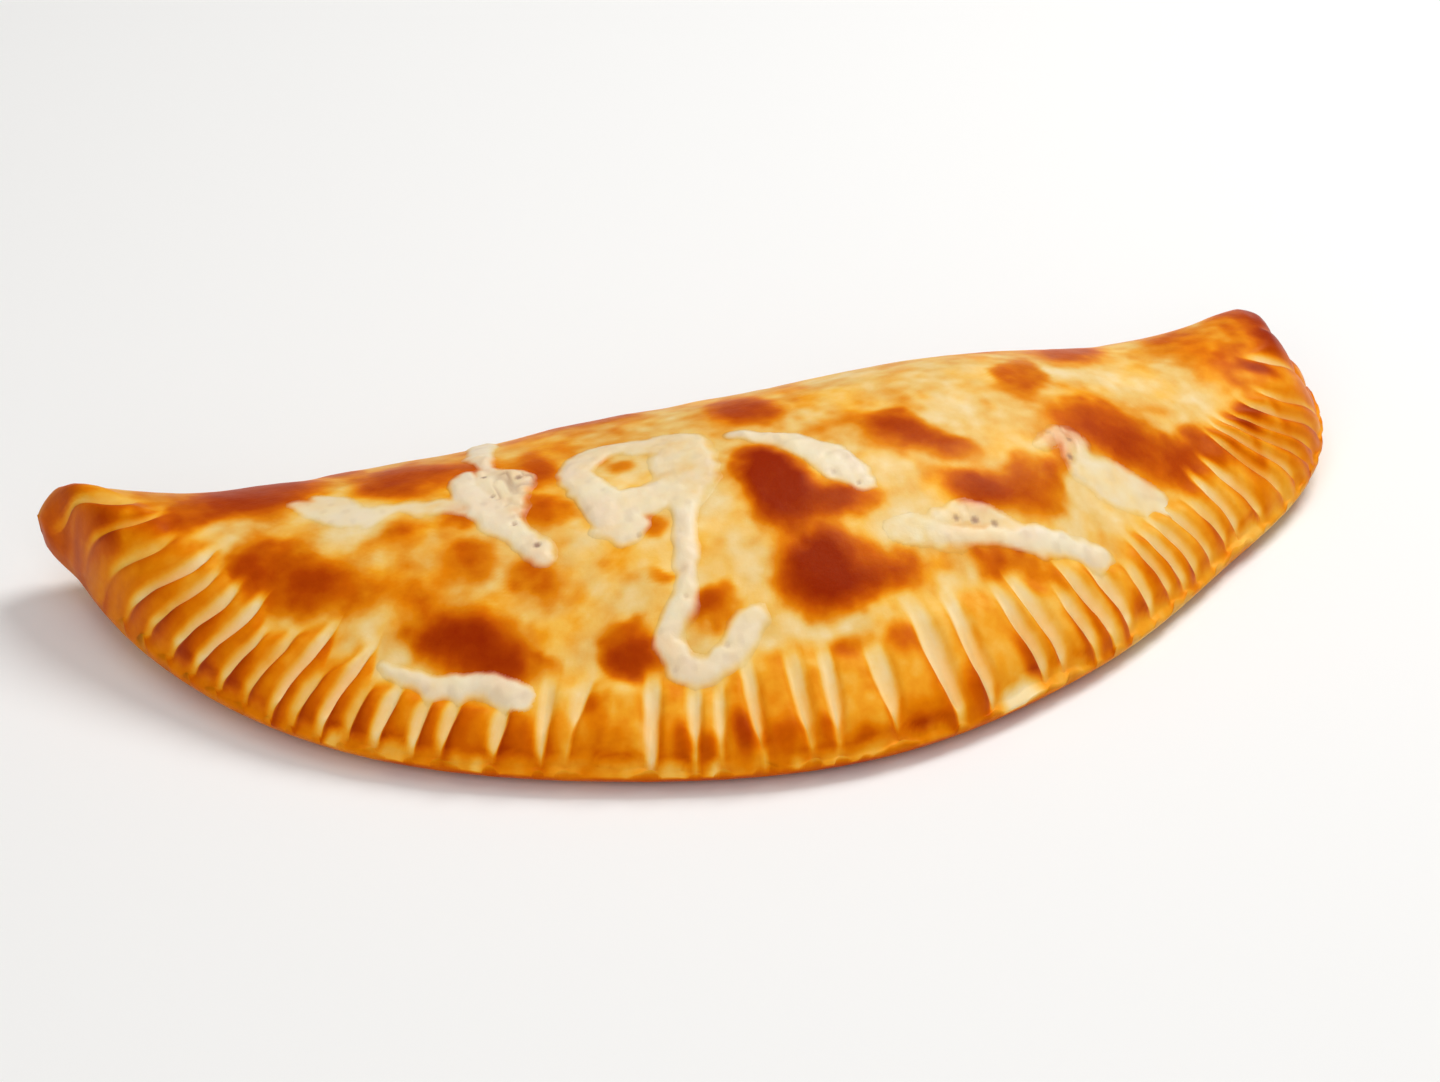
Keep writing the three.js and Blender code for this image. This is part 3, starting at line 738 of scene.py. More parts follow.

# The same on the crimped band, with x along the rim and y in from it. One brown oval there is a painted
# shadow.
RIM_BROWN_OVALS = (
    # The second oval here, low on the ridges near the left horn, is a painted shadow under them, not
    # browning.
    (36, 15, 4.5, 9, 0, 0.35), (26, 4, 5, 1.2, 0, 0.55), (48, 2, 2.5, 1.6, 30, 0.45),
    (57, 2, 2, 1.4, 30, 0.4), (88, 13, 2, 4, 0, 0.3), (103, 4, 2.6, 3.4, 0, 0.35), (126, 6, 3, 4, 0, 0.25),
    (137.5, 3.5, 4, 3.4, 0, 0.4), (152.6, 9.5, 1.8, 2.6, 0, 0.42), (156, 4, 5, 3, 0, 0.2),
    (171, 4, 1.8, 2.8, 0, 0.5), (176.8, 2.4, 1.5, 2, 0, 0.45), (184, 4.4, 2.2, 3, 0, 0.8),
    (193.5, 3.8, 3.6, 2.4, 0, 0.5), (201.8, 3.4, 1.8, 2.2, 0, 0.5), (211, 1.4, 5, 1, 0, 0.4),
    (225, 1.4, 6, 1, 0, 0.45), (213.5, 18, 6, 2, 0, 0.55), (227.5, 16, 3.4, 3.2, 0, 0.5),
    (230, 10, 1.6, 5, 0, 0.3), (238.2, 3.2, 2.4, 3.6, 0, 0.42), (253.6, 4.2, 2.4, 3.4, 0, 0.6),
    (260, 20, 4.2, 2.8, -10, 0.45), (266, 14, 2.6, 3, 0, 0.4), (269, 4, 1.4, 3.6, 0, 0.4),
    (275, 8, 1, 6, -8, 0.4), (281, 6, 0.9, 6, 0, 0.45), (289, 2.6, 2.6, 2, 0, 0.45),
    (296.4, 5, 1.8, 3.6, 0, 0.4), (302.4, 4.6, 0.9, 2.8, 0, 0.5), (308.6, 2, 1.4, 1.6, 0, 0.6),
    (321.6, 5, 1.6, 3.4, -15, 0.45), (343, 6, 2.4, 4, -20, 0.3), (353.4, 13.4, 3, 3.6, 30, 0.85),
    (359.4, 13, 3, 3.4, 30, 0.85), (377.6, 15, 2.6, 4, 0, 0.85), (365, 8, 4, 1.2, 45, 0.4),
    (349, 8, 3.4, 1.2, 50, 0.4), (398, 10.5, 12, 4.6, -4, 0.95), (413, 2, 4.5, 2.6, 0, 0.8),
)
RIM_PALE_OVALS = (
    (144.5, 13, 5.5, 4.6, 20, 0.75), (138, 10.5, 3, 2.4, 0, 0.6), (157.5, 13.2, 5.5, 1.3, 0, 0.55),
)
RIM_MARKS = ovals(Tone.BROWN, RIM_BROWN_OVALS) + ovals(Tone.PALE, RIM_PALE_OVALS)


@dataclass(frozen=True)
class Browning:
    """How far the oven has browned each place of the crust: 0 is raw cream and 1 is dark brown. One of the
    rim's marks is a painted shadow instead.

    Attributes:
        ground: Browning away from the marks.
        marks: The marks.
        warp: How much grain bends the marks' outlines, where 1 is in full.
        WARP_X: Grain that bends the outlines sideways.
        WARP_Y: Grain that bends them from front to back.
        GOLD: Grain of the golden patches.
        MOTTLE: Grain of the ground.
    """

    WARP_X = ((2.0, 9.0, 3), (0.8, 3.8, 5), (0.4, 1.6, 7))
    WARP_Y = ((2.0, 8.0, 4), (0.8, 3.6, 6), (0.4, 1.5, 8))
    GOLD = ((0.75, 9.0, 31), (0.4, 3.4, 32))
    MOTTLE = ((0.08, 14.0, 21), (0.11, 6.0, 22), (0.09, 2.4, 23))

    ground: float = 0.31
    marks: tuple[Mark, ...] = MARKS
    warp: float = 1.0

    def spots(self, x: Array, y: Array, tone: Tone) -> Array:
        """Cover of all the marks of one tone, with outlines bent by grain.

        What each mark leaves uncovered is multiplied, so that marks that overlap add up softly.

        Args:
            x: First coordinates of the points.
            y: Their second coordinates.
            tone: The tone.

        Returns:
            The cover, from 0 to 1.
        """
        warped_x = x + self.warp * uneven(self.WARP_X, x, y)
        warped_y = y + self.warp * uneven(self.WARP_Y, x, y)
        left = np.ones_like(warped_x)
        for mark in self.marks:
            if mark.tone is tone:
                left *= 1.0 - mark.cover(warped_x, warped_y)
        return 1.0 - left

    def golden(self, x: Array, y: Array) -> Array:
        """How golden the crust is away from its crimps, in patches."""
        return clamp01(0.3 + uneven(self.GOLD, x, y))

    def level(self, x: Array, y: Array) -> Array:
        """Browning of the upper crust away from its crimps.

        The ground level rises towards the horns and the back and is mottled by grain. Pale marks bring it
        down to cream, and brown marks with a soft halo take it up from there.

        Args:
            x: First coordinates of the points.
            y: Their second coordinates.

        Returns:
            The browning.
        """
        ends = smooth((np.abs(x) - 95.0) / 40.0)
        back = smooth((y + 45.0) / 30.0)
        mottle = uneven(self.MOTTLE, x, y)
        ground = self.ground + 0.16 * ends + 0.07 * back + mottle
        ground = blend(ground, 0.14 + 0.5 * mottle, 0.85 * self.spots(x, y, Tone.PALE))
        brown = self.spots(x, y, Tone.BROWN)
        return blend(ground + 0.12 * smooth(3.0 * brown), 1.0, brown**1.25)


@dataclass
class Surface:
    """A mesh in the making.

    Attributes:
        points: Blocks of points, in millimetres.
        faces: Blocks of faces, as indices of points.
        values: Blocks of named values at the points.
        count: How many points there are.
    """

    points: list[Array] = field(default_factory=list)
    faces: list[Array] = field(default_factory=list)
    values: dict[str, list[Array]] = field(default_factory=dict)
    count: int = 0

    def add(self, x: Array, y: Array, z: Array, **values: Array) -> Array:
        """Add points and their values.

        Args:
            x: First coordinates, in the shape that the indices come back in.
            y: Second coordinates.
            z: Heights.
            **values: Named values at the points.

        Returns:
            The points' indices, in the shape of the coordinates.
        """
        shape = np.broadcast(x, y, z).shape
        flat = [np.broadcast_to(part, shape).reshape(-1) for part in (x, y, z)]
        self.points.append(np.stack(flat, 1))
        for name, value in values.items():
            self.values.setdefault(name, []).append(np.broadcast_to(value, shape).reshape(-1))
        indices = self.count + np.arange(flat[0].size).reshape(shape)
        self.count += flat[0].size
        return indices

    def quads(self, a: Array, b: Array, c: Array, d: Array, upwards: bool = True) -> None:
        """Add faces of four corners, given as arrays of indices."""
        corners = (a, b, c, d) if upwards else (d, c, b, a)
        self.faces.append(np.stack([corner.reshape(-1) for corner in corners], 1))

    def triangles(self, a: Array, b: Array, c: Array, upwards: bool = True) -> None:
        """Add faces of three corners, given as arrays of indices."""
        corners = (a, b, c) if upwards else (c, b, a)
        self.faces.append(np.stack([corner.reshape(-1) for corner in corners], 1))

    def rings(self, rows: Array, upwards: bool) -> None:
        """Join closed rings of equal length, given as rows of indices from the outside in."""
        onward = np.roll(rows, -1, axis=1)
        self.quads(rows[:-1], onward[:-1], onward[1:], rows[1:], upwards)

    def halve(self, outer: Array, inner: Array, upwards: bool) -> None:
        """Join a closed ring to one of half its length with three triangles for every two columns.

        Args:
            outer: The ring's indices.
            inner: Indices of the ring of half its length.
            upwards: Whether the faces look up.
        """
        first, middle, last = outer[::2], outer[1::2], np.roll(outer[::2], -1)
        onward = np.roll(inner, -1)
        self.triangles(first, middle, inner, upwards)
        self.triangles(middle, onward, inner, upwards)
        self.triangles(middle, last, onward, upwards)

    def pole(self, ring: Array, tip: Array, upwards: bool) -> None:
        """Close a ring with a fan of triangles to one point."""
        self.triangles(ring, np.roll(ring, -1), np.broadcast_to(tip, ring.shape), upwards)

    def build(self, name: str, centre: tuple[float, float]) -> bpy.types.Object:
        """Make the mesh object in the part's frame, in metres.

        Args:
            name: The object's name.
            centre: The point of the shaping frame that is the part's origin in plan.

        Returns:
            The new object, linked to the scene and smooth shaded.
        """
        points = np.concatenate(self.points) - np.array([centre[0], centre[1], 0.0])
        faces = [face for block in self.faces for face in block.tolist()]
        mesh = bpy.data.meshes.new(name)
        mesh.from_pydata((points * MILLIMETRE).tolist(), [], faces)
        for key, parts in self.values.items():
            layer = mesh.attributes.new(key, "FLOAT", "POINT")
            layer.data.foreach_set("value", np.concatenate(parts).astype(np.float32))
        mesh.polygons.foreach_set("use_smooth", np.ones(len(mesh.polygons), bool))
        mesh.update()
        piece = bpy.data.objects.new(name, mesh)
        bpy.context.scene.collection.objects.link(piece)
        return piece


class Shader:
    """A node tree in the making, for a material or for a node group."""

    def __init__(self, tree: bpy.types.NodeTree) -> None:
        """Start on an empty tree."""
        self.tree = tree
        tree.nodes.clear()

    def node(self, kind: str, **settings: object) -> bpy.types.Node:
        """Add a node and set its properties.

        Args:
            kind: Blender's name for the node.
            **settings: Its properties.

        Returns:
            The node.
        """
        node = self.tree.nodes.new(kind)
        for name, value in settings.items():
            setattr(node, name, value)
        return node

    def feed(self, socket: bpy.types.NodeSocket, source: Source) -> None:
        """Link a socket to another socket, or set it to a plain value.

        Args:
            socket: The input.
            source: What feeds it.
        """
        if isinstance(source, bpy.types.NodeSocket):
            self.tree.links.new(source, socket)
        else:
            socket.default_value = source

    def maths(self, operation: str, *sources: Source, clamp: bool = False) -> bpy.types.NodeSocket:
        """Add a Math node.

        Args:
            operation: What it works out.
            *sources: Its inputs.
            clamp: Whether the result is kept from 0 to 1.

        Returns:
            Its output.
        """
        node = self.node("ShaderNodeMath", operation=operation, use_clamp=clamp)
        for socket, source in zip(node.inputs, sources):
            self.feed(socket, source)
        return node.outputs[0]

    def noise(self, place: Source, scale: Source, detail: float, rough: float = 0.5) -> bpy.types.NodeSocket:
        """Add a noise texture.

        Args:
            place: Where it is read.
            scale: Its scale.
            detail: Its octaves.
            rough: How strong the finer ones are.

        Returns:
            Its value from 0 to 1.
        """
        node = self.node("ShaderNodeTexNoise")
        self.feed(node.inputs["Vector"], place)
        for name, value in (("Scale", scale), ("Detail", detail), ("Roughness", rough)):
            self.feed(node.inputs[name], value)
        return node.outputs["Fac"]

    def attribute(self, name: str) -> bpy.types.NodeSocket:
        """Read a value that is kept at the mesh's points."""
        return self.node("ShaderNodeAttribute", attribute_name=name).outputs["Fac"]

    def place(self) -> bpy.types.NodeSocket:
        """The place on the object, in metres."""
        return self.node("ShaderNodeTexCoord").outputs["Object"]

    def ramp(self, source: Source, stops: Stops) -> bpy.types.NodeSocket:
        """Add a colour ramp.

        Args:
            source: Where along the ramp it is read.
            stops: Its stops, with display colours.

        Returns:
            The colour.
        """
        node = self.node("ShaderNodeValToRGB")
        elements = node.color_ramp.elements
        while len(elements) < len(stops):
            elements.new(0.5)
        for element, (at, colour) in zip(elements, stops):
            element.position = at
            element.color = linear(colour)
        self.feed(node.inputs["Fac"], source)
        return node.outputs["Color"]

    def mix(self, share: Source, first: Source, second: Source) -> bpy.types.NodeSocket:
        """Mix two colours.

        Args:
            share: Share of the second.
            first: The first colour.
            second: The second.

        Returns:
            The mixed colour.
        """
        node = self.node("ShaderNodeMix", data_type="RGBA")
        self.feed(node.inputs["Factor"], share)
        self.feed(node.inputs["A"], first)
        self.feed(node.inputs["B"], second)
        return node.outputs["Result"]


@dataclass(frozen=True)
class Socket:
    """One input or output of a node group.

    Attributes:
        name: Its name.
        kind: Blender's name for its type.
        value: Its value where nothing feeds it.
    """

    name: str
    kind: str = "NodeSocketFloat"
    value: float | None = None


class Groups:
    """The node groups that more than one finish uses, built once."""

    def __init__(self) -> None:
        """Build the groups."""
        self.mottle = self._mottle()
        self.baked = self._baked()
        self.skin = self._skin()

    @staticmethod
    def _group(
        name: str, inputs: Sequence[Socket], output: Socket
    ) -> tuple[Shader, bpy.types.Node, bpy.types.Node]:
        """Start a group with named inputs and an output.

        Args:
            name: The group's name.
            inputs: Its inputs.
            output: Its one output.

        Returns:
            Its shader and its two end nodes.
        """
        tree = bpy.data.node_groups.new(name, "ShaderNodeTree")
        shader = Shader(tree)
        for sockets, side in ((inputs, "INPUT"), ((output,), "OUTPUT")):
            for socket in sockets:
                made = tree.interface.new_socket(socket.name, in_out=side, socket_type=socket.kind)
                if socket.value is not None:
                    made.default_value = socket.value
        return shader, shader.node("NodeGroupInput"), shader.node("NodeGroupOutput")

    def _mottle(self) -> bpy.types.NodeTree:
        """Unevenness of baking: a level pushed up and down by two sizes of noise.

        Returns:
            The group.
        """
        inputs = (
            Socket("Place", "NodeSocketVector"),
            Socket("Level"),
            Socket("Patch Scale", value=90.0),
            Socket("Patch Amount", value=0.1),
            Socket("Speck Scale", value=420.0),
            Socket("Speck Amount", value=0.1),
        )
        shader, given, result = self._group("uneven_baking", inputs, Socket("Level"))
        level = given.outputs["Level"]
        for size, detail in (("Patch", 3.0), ("Speck", 4.0)):
            noise = shader.noise(given.outputs["Place"], given.outputs[f"{size} Scale"], detail, 0.6)
            push = shader.maths("SUBTRACT", noise, 0.5)
            level = shader.maths("MULTIPLY_ADD", push, given.outputs[f"{size} Amount"], level)
        shader.feed(result.inputs["Level"], level)
        return shader.tree

    def _baked(self) -> bpy.types.NodeTree:
        """Colour of baked dough from how far it is browned, on the crown and, more golden, on the rim.

        Returns:
            The group.
        """
        inputs = (Socket("Level"), Socket("Golden"))
        shader, given, result = self._group("baked_colour", inputs, Socket("Colour", "NodeSocketColor"))
        crown = shader.ramp(given.outputs["Level"], CROWN_COLOURS)
        rim = shader.ramp(given.outputs["Level"], RIM_COLOURS)
        shader.feed(result.inputs["Colour"], shader.mix(given.outputs["Golden"], crown, rim))
        return shader.tree

    def _skin(self) -> bpy.types.NodeTree:
        """Fine skin of baked food: a normal roughened by two sizes of noise.

        Returns:
            The group.
        """
        inputs = (
            Socket("Place", "NodeSocketVector"),
            Socket("Scale", value=600.0),
            Socket("Strength", value=0.3),
            Socket("Depth", value=0.0003),
        )
        shader, given, result = self._group("fine_skin", inputs, Socket("Normal", "NodeSocketVector"))
        place, scale = given.outputs["Place"], given.outputs["Scale"]
        coarse = shader.noise(place, scale, 3.0, 0.55)
        fine = shader.noise(place, shader.maths("MULTIPLY", scale, 3.1), 2.0)
        height = shader.maths("ADD", coarse, shader.maths("MULTIPLY", fine, 0.35))
        bump = shader.node("ShaderNodeBump")
        shader.feed(bump.inputs["Height"], height)
        shader.feed(bump.inputs["Strength"], given.outputs["Strength"])
        shader.feed(bump.inputs["Distance"], given.outputs["Depth"])
        shader.feed(result.inputs["Normal"], bump.outputs["Normal"])
        return shader.tree


def use_group(shader: Shader, group: bpy.types.NodeTree, **sources: Source) -> bpy.types.NodeSocket:
    """Place a node group, feed its inputs and return its first output.

    Args:
        shader: The tree that the group is placed in.
        group: The group.
        **sources: Values or sockets for the inputs, with spaces in names written as underscores.

    Returns:
        The group's first output.
    """
    node = shader.node("ShaderNodeGroup", node_tree=group)
    for name, source in sources.items():
        shader.feed(node.inputs[name.replace("_", " ")], source)
    return node.outputs[0]


CROWN_COLOURS: Stops = (
    (0.0, (248, 226, 190)),
    (0.13, (243, 213, 153)),
    (0.26, (238, 194, 110)),
    (0.38, (234, 164, 64)),
    (0.50, (227, 133, 12)),
    (0.64, (207, 99, 0)),
    (0.80, (181, 67, 0)),
    (1.0, (150, 36, 0)),
)
RIM_COLOURS: Stops = (
    (0.0, (255, 228, 172)),
    (0.13, (253, 212, 132)),
    (0.26, (251, 192, 80)),
    (0.38, (247, 164, 32)),
    (0.50, (236, 132, 4)),
    (0.64, (214, 98, 0)),
    (0.80, (182, 66, 0)),
    (1.0, (150, 36, 0)),
)


@dataclass(frozen=True)
class FoodFinish:
    """What the finishes share: a gloss that varies, light that passes into the food, and a fine skin.

    Attributes:
        name: The material's name.
        roughness: Roughness in the middle of its range.
        roughness_spread: How far the roughness varies over the surface.
        roughness_scale: Scale at which it varies.
        specular: Strength of the shine.
        shine: Tint of the shine.
        subsurface: How much light passes in.
        subsurface_reach: How far that light goes, in metres.
        subsurface_tint: How far each channel goes, as a share of that.
        grain_scale: Scale of the fine skin.
        grain_strength: Strength of the fine skin.
    """

    name: str
    roughness: float
    roughness_spread: float
    roughness_scale: float
    specular: float
    shine: Colour
    subsurface: float
    subsurface_reach: float
    subsurface_tint: tuple[float, float, float]
    grain_scale: float
    grain_strength: float

    def colour(self, shader: Shader, groups: Groups, place: bpy.types.NodeSocket) -> bpy.types.NodeSocket:
        """Build the finish's colour, which each finish does in its own way."""
        raise NotImplementedError

    def material(self, groups: Groups) -> bpy.types.Material:
        """Make the material.

        Args:
            groups: The shared node groups.

        Returns:
            The material.
        """
        material = bpy.data.materials.new(self.name)
        material.use_nodes = True
        shader = Shader(material.node_tree)
        place = shader.place()
        bsdf = shader.node("ShaderNodeBsdfPrincipled")
        shader.feed(bsdf.inputs["Base Color"], self.colour(shader, groups, place))
        dull, spread = shader.noise(place, self.roughness_scale, 2.0), self.roughness_spread
        dull = shader.maths("MULTIPLY_ADD", dull, spread, self.roughness - spread / 2)
        shader.feed(bsdf.inputs["Roughness"], dull)
        for name, value in (
            ("Subsurface Weight", self.subsurface),
            ("Subsurface Radius", self.subsurface_tint),
            ("Subsurface Scale", self.subsurface_reach),
            ("Specular IOR Level", self.specular),
            ("Specular Tint", linear(self.shine)),
        ):
            bsdf.inputs[name].default_value = value
        skin = {"Scale": self.grain_scale, "Strength": self.grain_strength}
        shader.feed(bsdf.inputs["Normal"], use_group(shader, groups.skin, Place=place, **skin))
        output = shader.node("ShaderNodeOutputMaterial")
        shader.feed(output.inputs["Surface"], bsdf.outputs["BSDF"])
        return material

    @staticmethod
    def mottled(
        shader: Shader, groups: Groups, place: bpy.types.NodeSocket, name: str, patch: float, speck: float
    ) -> bpy.types.NodeSocket:
        """Read a value kept at the mesh's points and push it up and down.

        Args:
            shader: The material's tree.
            groups: The shared node groups.
            place: The place on the object.
            name: The value's name.
            patch: How much patches push it.
            speck: How much fine specks push it.

        Returns:
            The uneven value.
        """
        push = {"Patch_Amount": patch, "Speck_Amount": speck}
        return use_group(shader, groups.mottle, Place=place, Level=shader.attribute(name), **push)


@dataclass(frozen=True)
class CrustFinish(FoodFinish):
    """Baked and buttered dough, coloured from cream to dark brown by how far it is browned.

    Attributes:
        patch_amount: How much patches push the browning up and down.
        speck_amount: How much fine specks push it.
    """

    name: str = "baked_dough"
    roughness: float = 0.4
    roughness_spread: float = 0.16
    roughness_scale: float = 240.0
    specular: float = 0.09
    shine: Colour = (255, 188, 96)
    subsurface: float = 0.1
    subsurface_reach: float = 0.0022
    subsurface_tint: tuple[float, float, float] = (1.0, 0.55, 0.25)
    grain_scale: float = 700.0
    grain_strength: float = 0.22
    patch_amount: float = 0.24
    speck_amount: float = 0.13

    def colour(self, shader: Shader, groups: Groups, place: bpy.types.NodeSocket) -> bpy.types.NodeSocket:
        """Colour of the dough from its mottled browning and its goldenness."""
        level = self.mottled(shader, groups, place, "browning", self.patch_amount, self.speck_amount)
        return use_group(shader, groups.baked, Level=level, Golden=shader.attribute("golden"))


@dataclass(frozen=True)
class CheeseFinish(FoodFinish):
    """Melted white cheese: ivory where it is thick, the crust's colour where it is thin, with toasted specks.

    Attributes:
        thick: Colour of thick cheese.
        rosy: Its warmer patches.
        toast: Its toasted specks and pits.
        browning_push: How much patches and specks push the crust's browning up and down.
        thin_push: How much they push the thinness.
    """

    name: str = "melted_cheese"
    roughness: float = 0.42
    roughness_spread: float = 0.2
    roughness_scale: float = 300.0
    specular: float = 0.22
    shine: Colour = (255, 255, 255)
    subsurface: float = 0.2
    subsurface_reach: float = 0.003
    subsurface_tint: tuple[float, float, float] = (1.0, 0.75, 0.5)
    grain_scale: float = 520.0
    grain_strength: float = 0.25
    thick: Colour = (248, 232, 198)
    rosy: Colour = (243, 216, 192)
    toast: Colour = (150, 112, 92)
    browning_push: tuple[float, float] = (0.24, 0.09)
    thin_push: tuple[float, float] = (0.5, 0.16)

    def colour(self, shader: Shader, groups: Groups, place: bpy.types.NodeSocket) -> bpy.types.NodeSocket:
        """Colour of the cheese: ivory with rosy patches, over the crust's colour, under the toasted specks.

        Args:
            shader: The material's tree.
            groups: The shared node groups.
            place: The place on the object.

        Returns:
            The colour.
        """
        warm = shader.maths("MULTIPLY_ADD", shader.noise(place, 110.0, 3.0), 1.6, -0.45, clamp=True)
        body = shader.mix(warm, linear(self.thick), linear(self.rosy))
        level = self.mottled(shader, groups, place, "browning", *self.browning_push)
        thin = self.mottled(shader, groups, place, "thin", *self.thin_push)
        crust = use_group(shader, groups.baked, Level=level, Golden=shader.attribute("golden"))
        return shader.mix(shader.attribute("toast"), shader.mix(thin, body, crust), linear(self.toast))


@dataclass
class Crust:
    """The baked dough: one closed skin of rings from the outline in to the focus, on top and underneath.

    Attributes:
        form: The pie's outline and heights.
        rim_line: The rim by arc length.
        crimping: The fork marks.
        browning: How far each place is browned.
        rim_spots: Marks of the crimped band, placed along the rim and in from it.
        rim_columns: Columns of points along the rim.
        fold_columns: Columns of points along the folded edge.
        band_width: How far in the crimped band reaches.
        band_rows: Its evenly spaced rows.
        crown_rows: Rings between the band and the pole.
        crown_share: How far in to the focus those rings reach, as a share of the way.
        pole_rows: Rings round the pole.
        base_rows: Inner rings of the underside.
        notch_reach: How far in the edge's nicks shift the surface.
        plain_ends: Length of plain edge at the left and the right horn, over which the nicks fade in.
        horn_fade: Length over which the lip fades in from a horn.
        swell_reach: How far in from the rim the crown's swells come up.
        rim_ground: Gauge of the browning of the ridges.
        rim_outer: Gauge of how much browner they are near the edge.
        rim_lip: Gauge of how much browner the lip is than that.
        lip_widths: Gauge of how far in the lower dough's lip shows.
        lip_top: Height of that lip's top over the underside.
        LIP_DEPTHS: Distances from the edge of the rows over the lip.
        BASE_DEPTHS: Distances from the edge of the outer rows underneath.
        SWELLS: Grain of the crown's swells.
        LIP_WANDER: Grain of how far in the lip shows.
        RAGGED: Grain of the edge.
        BASE_PATCHES: Grain of the browning underneath.
    """

    LIP_DEPTHS = (0.0, 0.25, 0.55, 0.9, 1.2, 1.5, 1.8, 2.1, 2.5, 3.0, 3.6, 4.3)
    BASE_DEPTHS = (0.5, 1.2, 2.2, 3.4, 5.0, 7.5, 11.0, 16.0, 22.0, 30.0)
    SWELLS = ((0.45, 24.0, 41), (0.16, 8.0, 42), (0.05, 3.0, 43))
    LIP_WANDER = ((0.6, 14.0, 51), (0.3, 4.0, 52))
    RAGGED = ((0.3, 5.0, 61), (0.15, 2.0, 62))
    BASE_PATCHES = ((0.14, 18.0, 81), (0.08, 6.0, 82))

    form: PieForm
    rim_line: RimLine
    crimping: Crimping
    browning: Browning
    rim_spots: Browning
    rim_columns: int = 740
    fold_columns: int = 260
    band_width: float = 26.0
    band_rows: int = 30
    crown_rows: int = 64
    crown_share: float = 0.78
    pole_rows: int = 16
    base_rows: int = 12
    notch_reach: float = 6.0
    plain_ends: tuple[float, float] = (40.0, 15.0)
    horn_fade: float = 12.0
    swell_reach: float = 10.0
    rim_ground: tuple[float, ...] = (0.40, 0.46, 0.43, 0.37, 0.37, 0.31, 0.34, 0.44, 0.46)
    rim_outer: tuple[float, ...] = (-0.04, 0.12, 0.11, 0.12, 0.11, 0.14, 0.1, 0.06, 0.02)
    rim_lip: tuple[float, ...] = (-0.04, -0.06, -0.05, -0.05, -0.06, -0.06, -0.08, -0.2, -0.16)
    lip_widths: tuple[float, ...] = (0.2, 0.9, 1.9, 2.1, 2.1, 2.1, 1.9, 1.2, 0.2)
    lip_top: float = 2.4

    def undulation(self, x: Array, y: Array) -> Array:
        """Gentle swells of the crown and the slight rise of the browned blisters.

        Args:
            x: First coordinates of the points.
            y: Their second coordinates.

        Returns:
            The heights to add to the form's.
        """
        swell = uneven(self.SWELLS, x, y)
        blister = 0.55 * self.browning.spots(x, y, Tone.BROWN)
        inner = smooth(self.form.distance_in(x, y) / self.swell_reach)
        back = smooth((self.form.fold_depth(self.form.station(x)) - y) / 12.0)
        return (swell + blister) * inner * blend(0.3, 1.0, back)

    def crown(self, x: Array, y: Array) -> Array:
        """Height of the crust without its crimping."""
        return self.form.top(x, y) + self.undulation(x, y)

    def band_depths(self) -> Array:
        """Distances of the band's rows from the edge: close over the lip, then even."""
        even = np.linspace(self.LIP_DEPTHS[-1], self.band_width, self.band_rows)
        return np.concatenate([self.LIP_DEPTHS, even[1:]])

    def lip_width(self, along: Array) -> Array:
        """How far in the lower dough's lip shows."""
        share = clamp01(0.6 + uneven(self.LIP_WANDER, along, 0.0 * along))
        return gauge(self.lip_widths, along / self.rim_line.length) * share

    def lip_profile(self, along: Array, inwards: Array) -> Array:
        """Change of height at the edge: the lower dough's thin lip, a seam, the upper dough's round edge.

        Each is a quarter round, and the plain rounded edge of the form is taken off.

        Args:
            along: Places along the rim, in millimetres.
            inwards: Distances in from it.

        Returns:
            The heights to add.
        """
        half = self.form.rim_thickness / 2.0
        plain = half * (1.0 + quarter_round(inwards / half))
        reach = self.lip_width(along)
        lower = blend(half * 0.55, self.lip_top, quarter_round(inwards / np.maximum(reach, 0.2)))
        foot = self.lip_top - 0.5
        upper = blend(foot, 2 * half, quarter_round((inwards - reach - 0.1) / 4.2))
        return np.where(inwards < reach + 0.1, lower, upper) - plain

    def band(self) -> tuple[Array, Array, Array, Array, Array]:
        """Points and colouring of the crimped band.

        Rows run in from the edge. Columns run round from the left horn along the rim, each leaning with the
        fork marks, and back along the fold, where they point to the focus. The height is the crown's, the
        crimping's and the lip's together. The edge is nicked at the marks, swells a little at the ridges and
        is made ragged by grain.

        Returns:
            The coordinates, the browning and the goldenness, each with one row for each distance in.
        """
        inwards = self.band_depths()[:, None]
        along = (np.arange(self.rim_columns) * self.rim_line.length / self.rim_columns)[None, :]
        along, inwards = np.broadcast_arrays(along, inwards)
        relief = self.crimping.relief(along, inwards)
        from_end = self.rim_line.length - along
        left, right = self.plain_ends
        side = (1.0 - clamp01(inwards / self.notch_reach)) * smooth(along / left) * smooth(from_end / right)
        notch = (self.crimping.notches(along) - 0.45 * clamp01(relief)) * side
        ragged = uneven(self.RAGGED, along, 0.0 * along) * side
        leaned = np.clip(self.crimping.leaned(along, inwards), 0.0, self.rim_line.length)
        x, y = self.rim_line.point(leaned, inwards + np.maximum(notch + ragged + 0.3, 0.0))
        near_horn = smooth(np.minimum(along, from_end) / self.horn_fade)
        z = self.crown(x, y) + relief + near_horn * self.lip_profile(along, inwards)
        level = self.rim_browning(x, y, along, inwards)
        golden = self.goldenness(x, y, along, inwards)
        angle = math.pi * (1.0 - np.arange(self.fold_columns) / self.fold_columns)
        back_x, back_y = self.form.fold(angle)
        back_x, back_y = self.towards_focus(back_x, back_y, self.band_depths()[:, None])
        back_z = self.crown(back_x, back_y)
        return (
            np.concatenate([x, back_x], 1),
            np.concatenate([y, back_y], 1),
            np.concatenate([z, back_z], 1),
            np.concatenate([level, self.browning.level(back_x, back_y)], 1),
            np.concatenate([golden, self.browning.golden(back_x, back_y)], 1),
        )

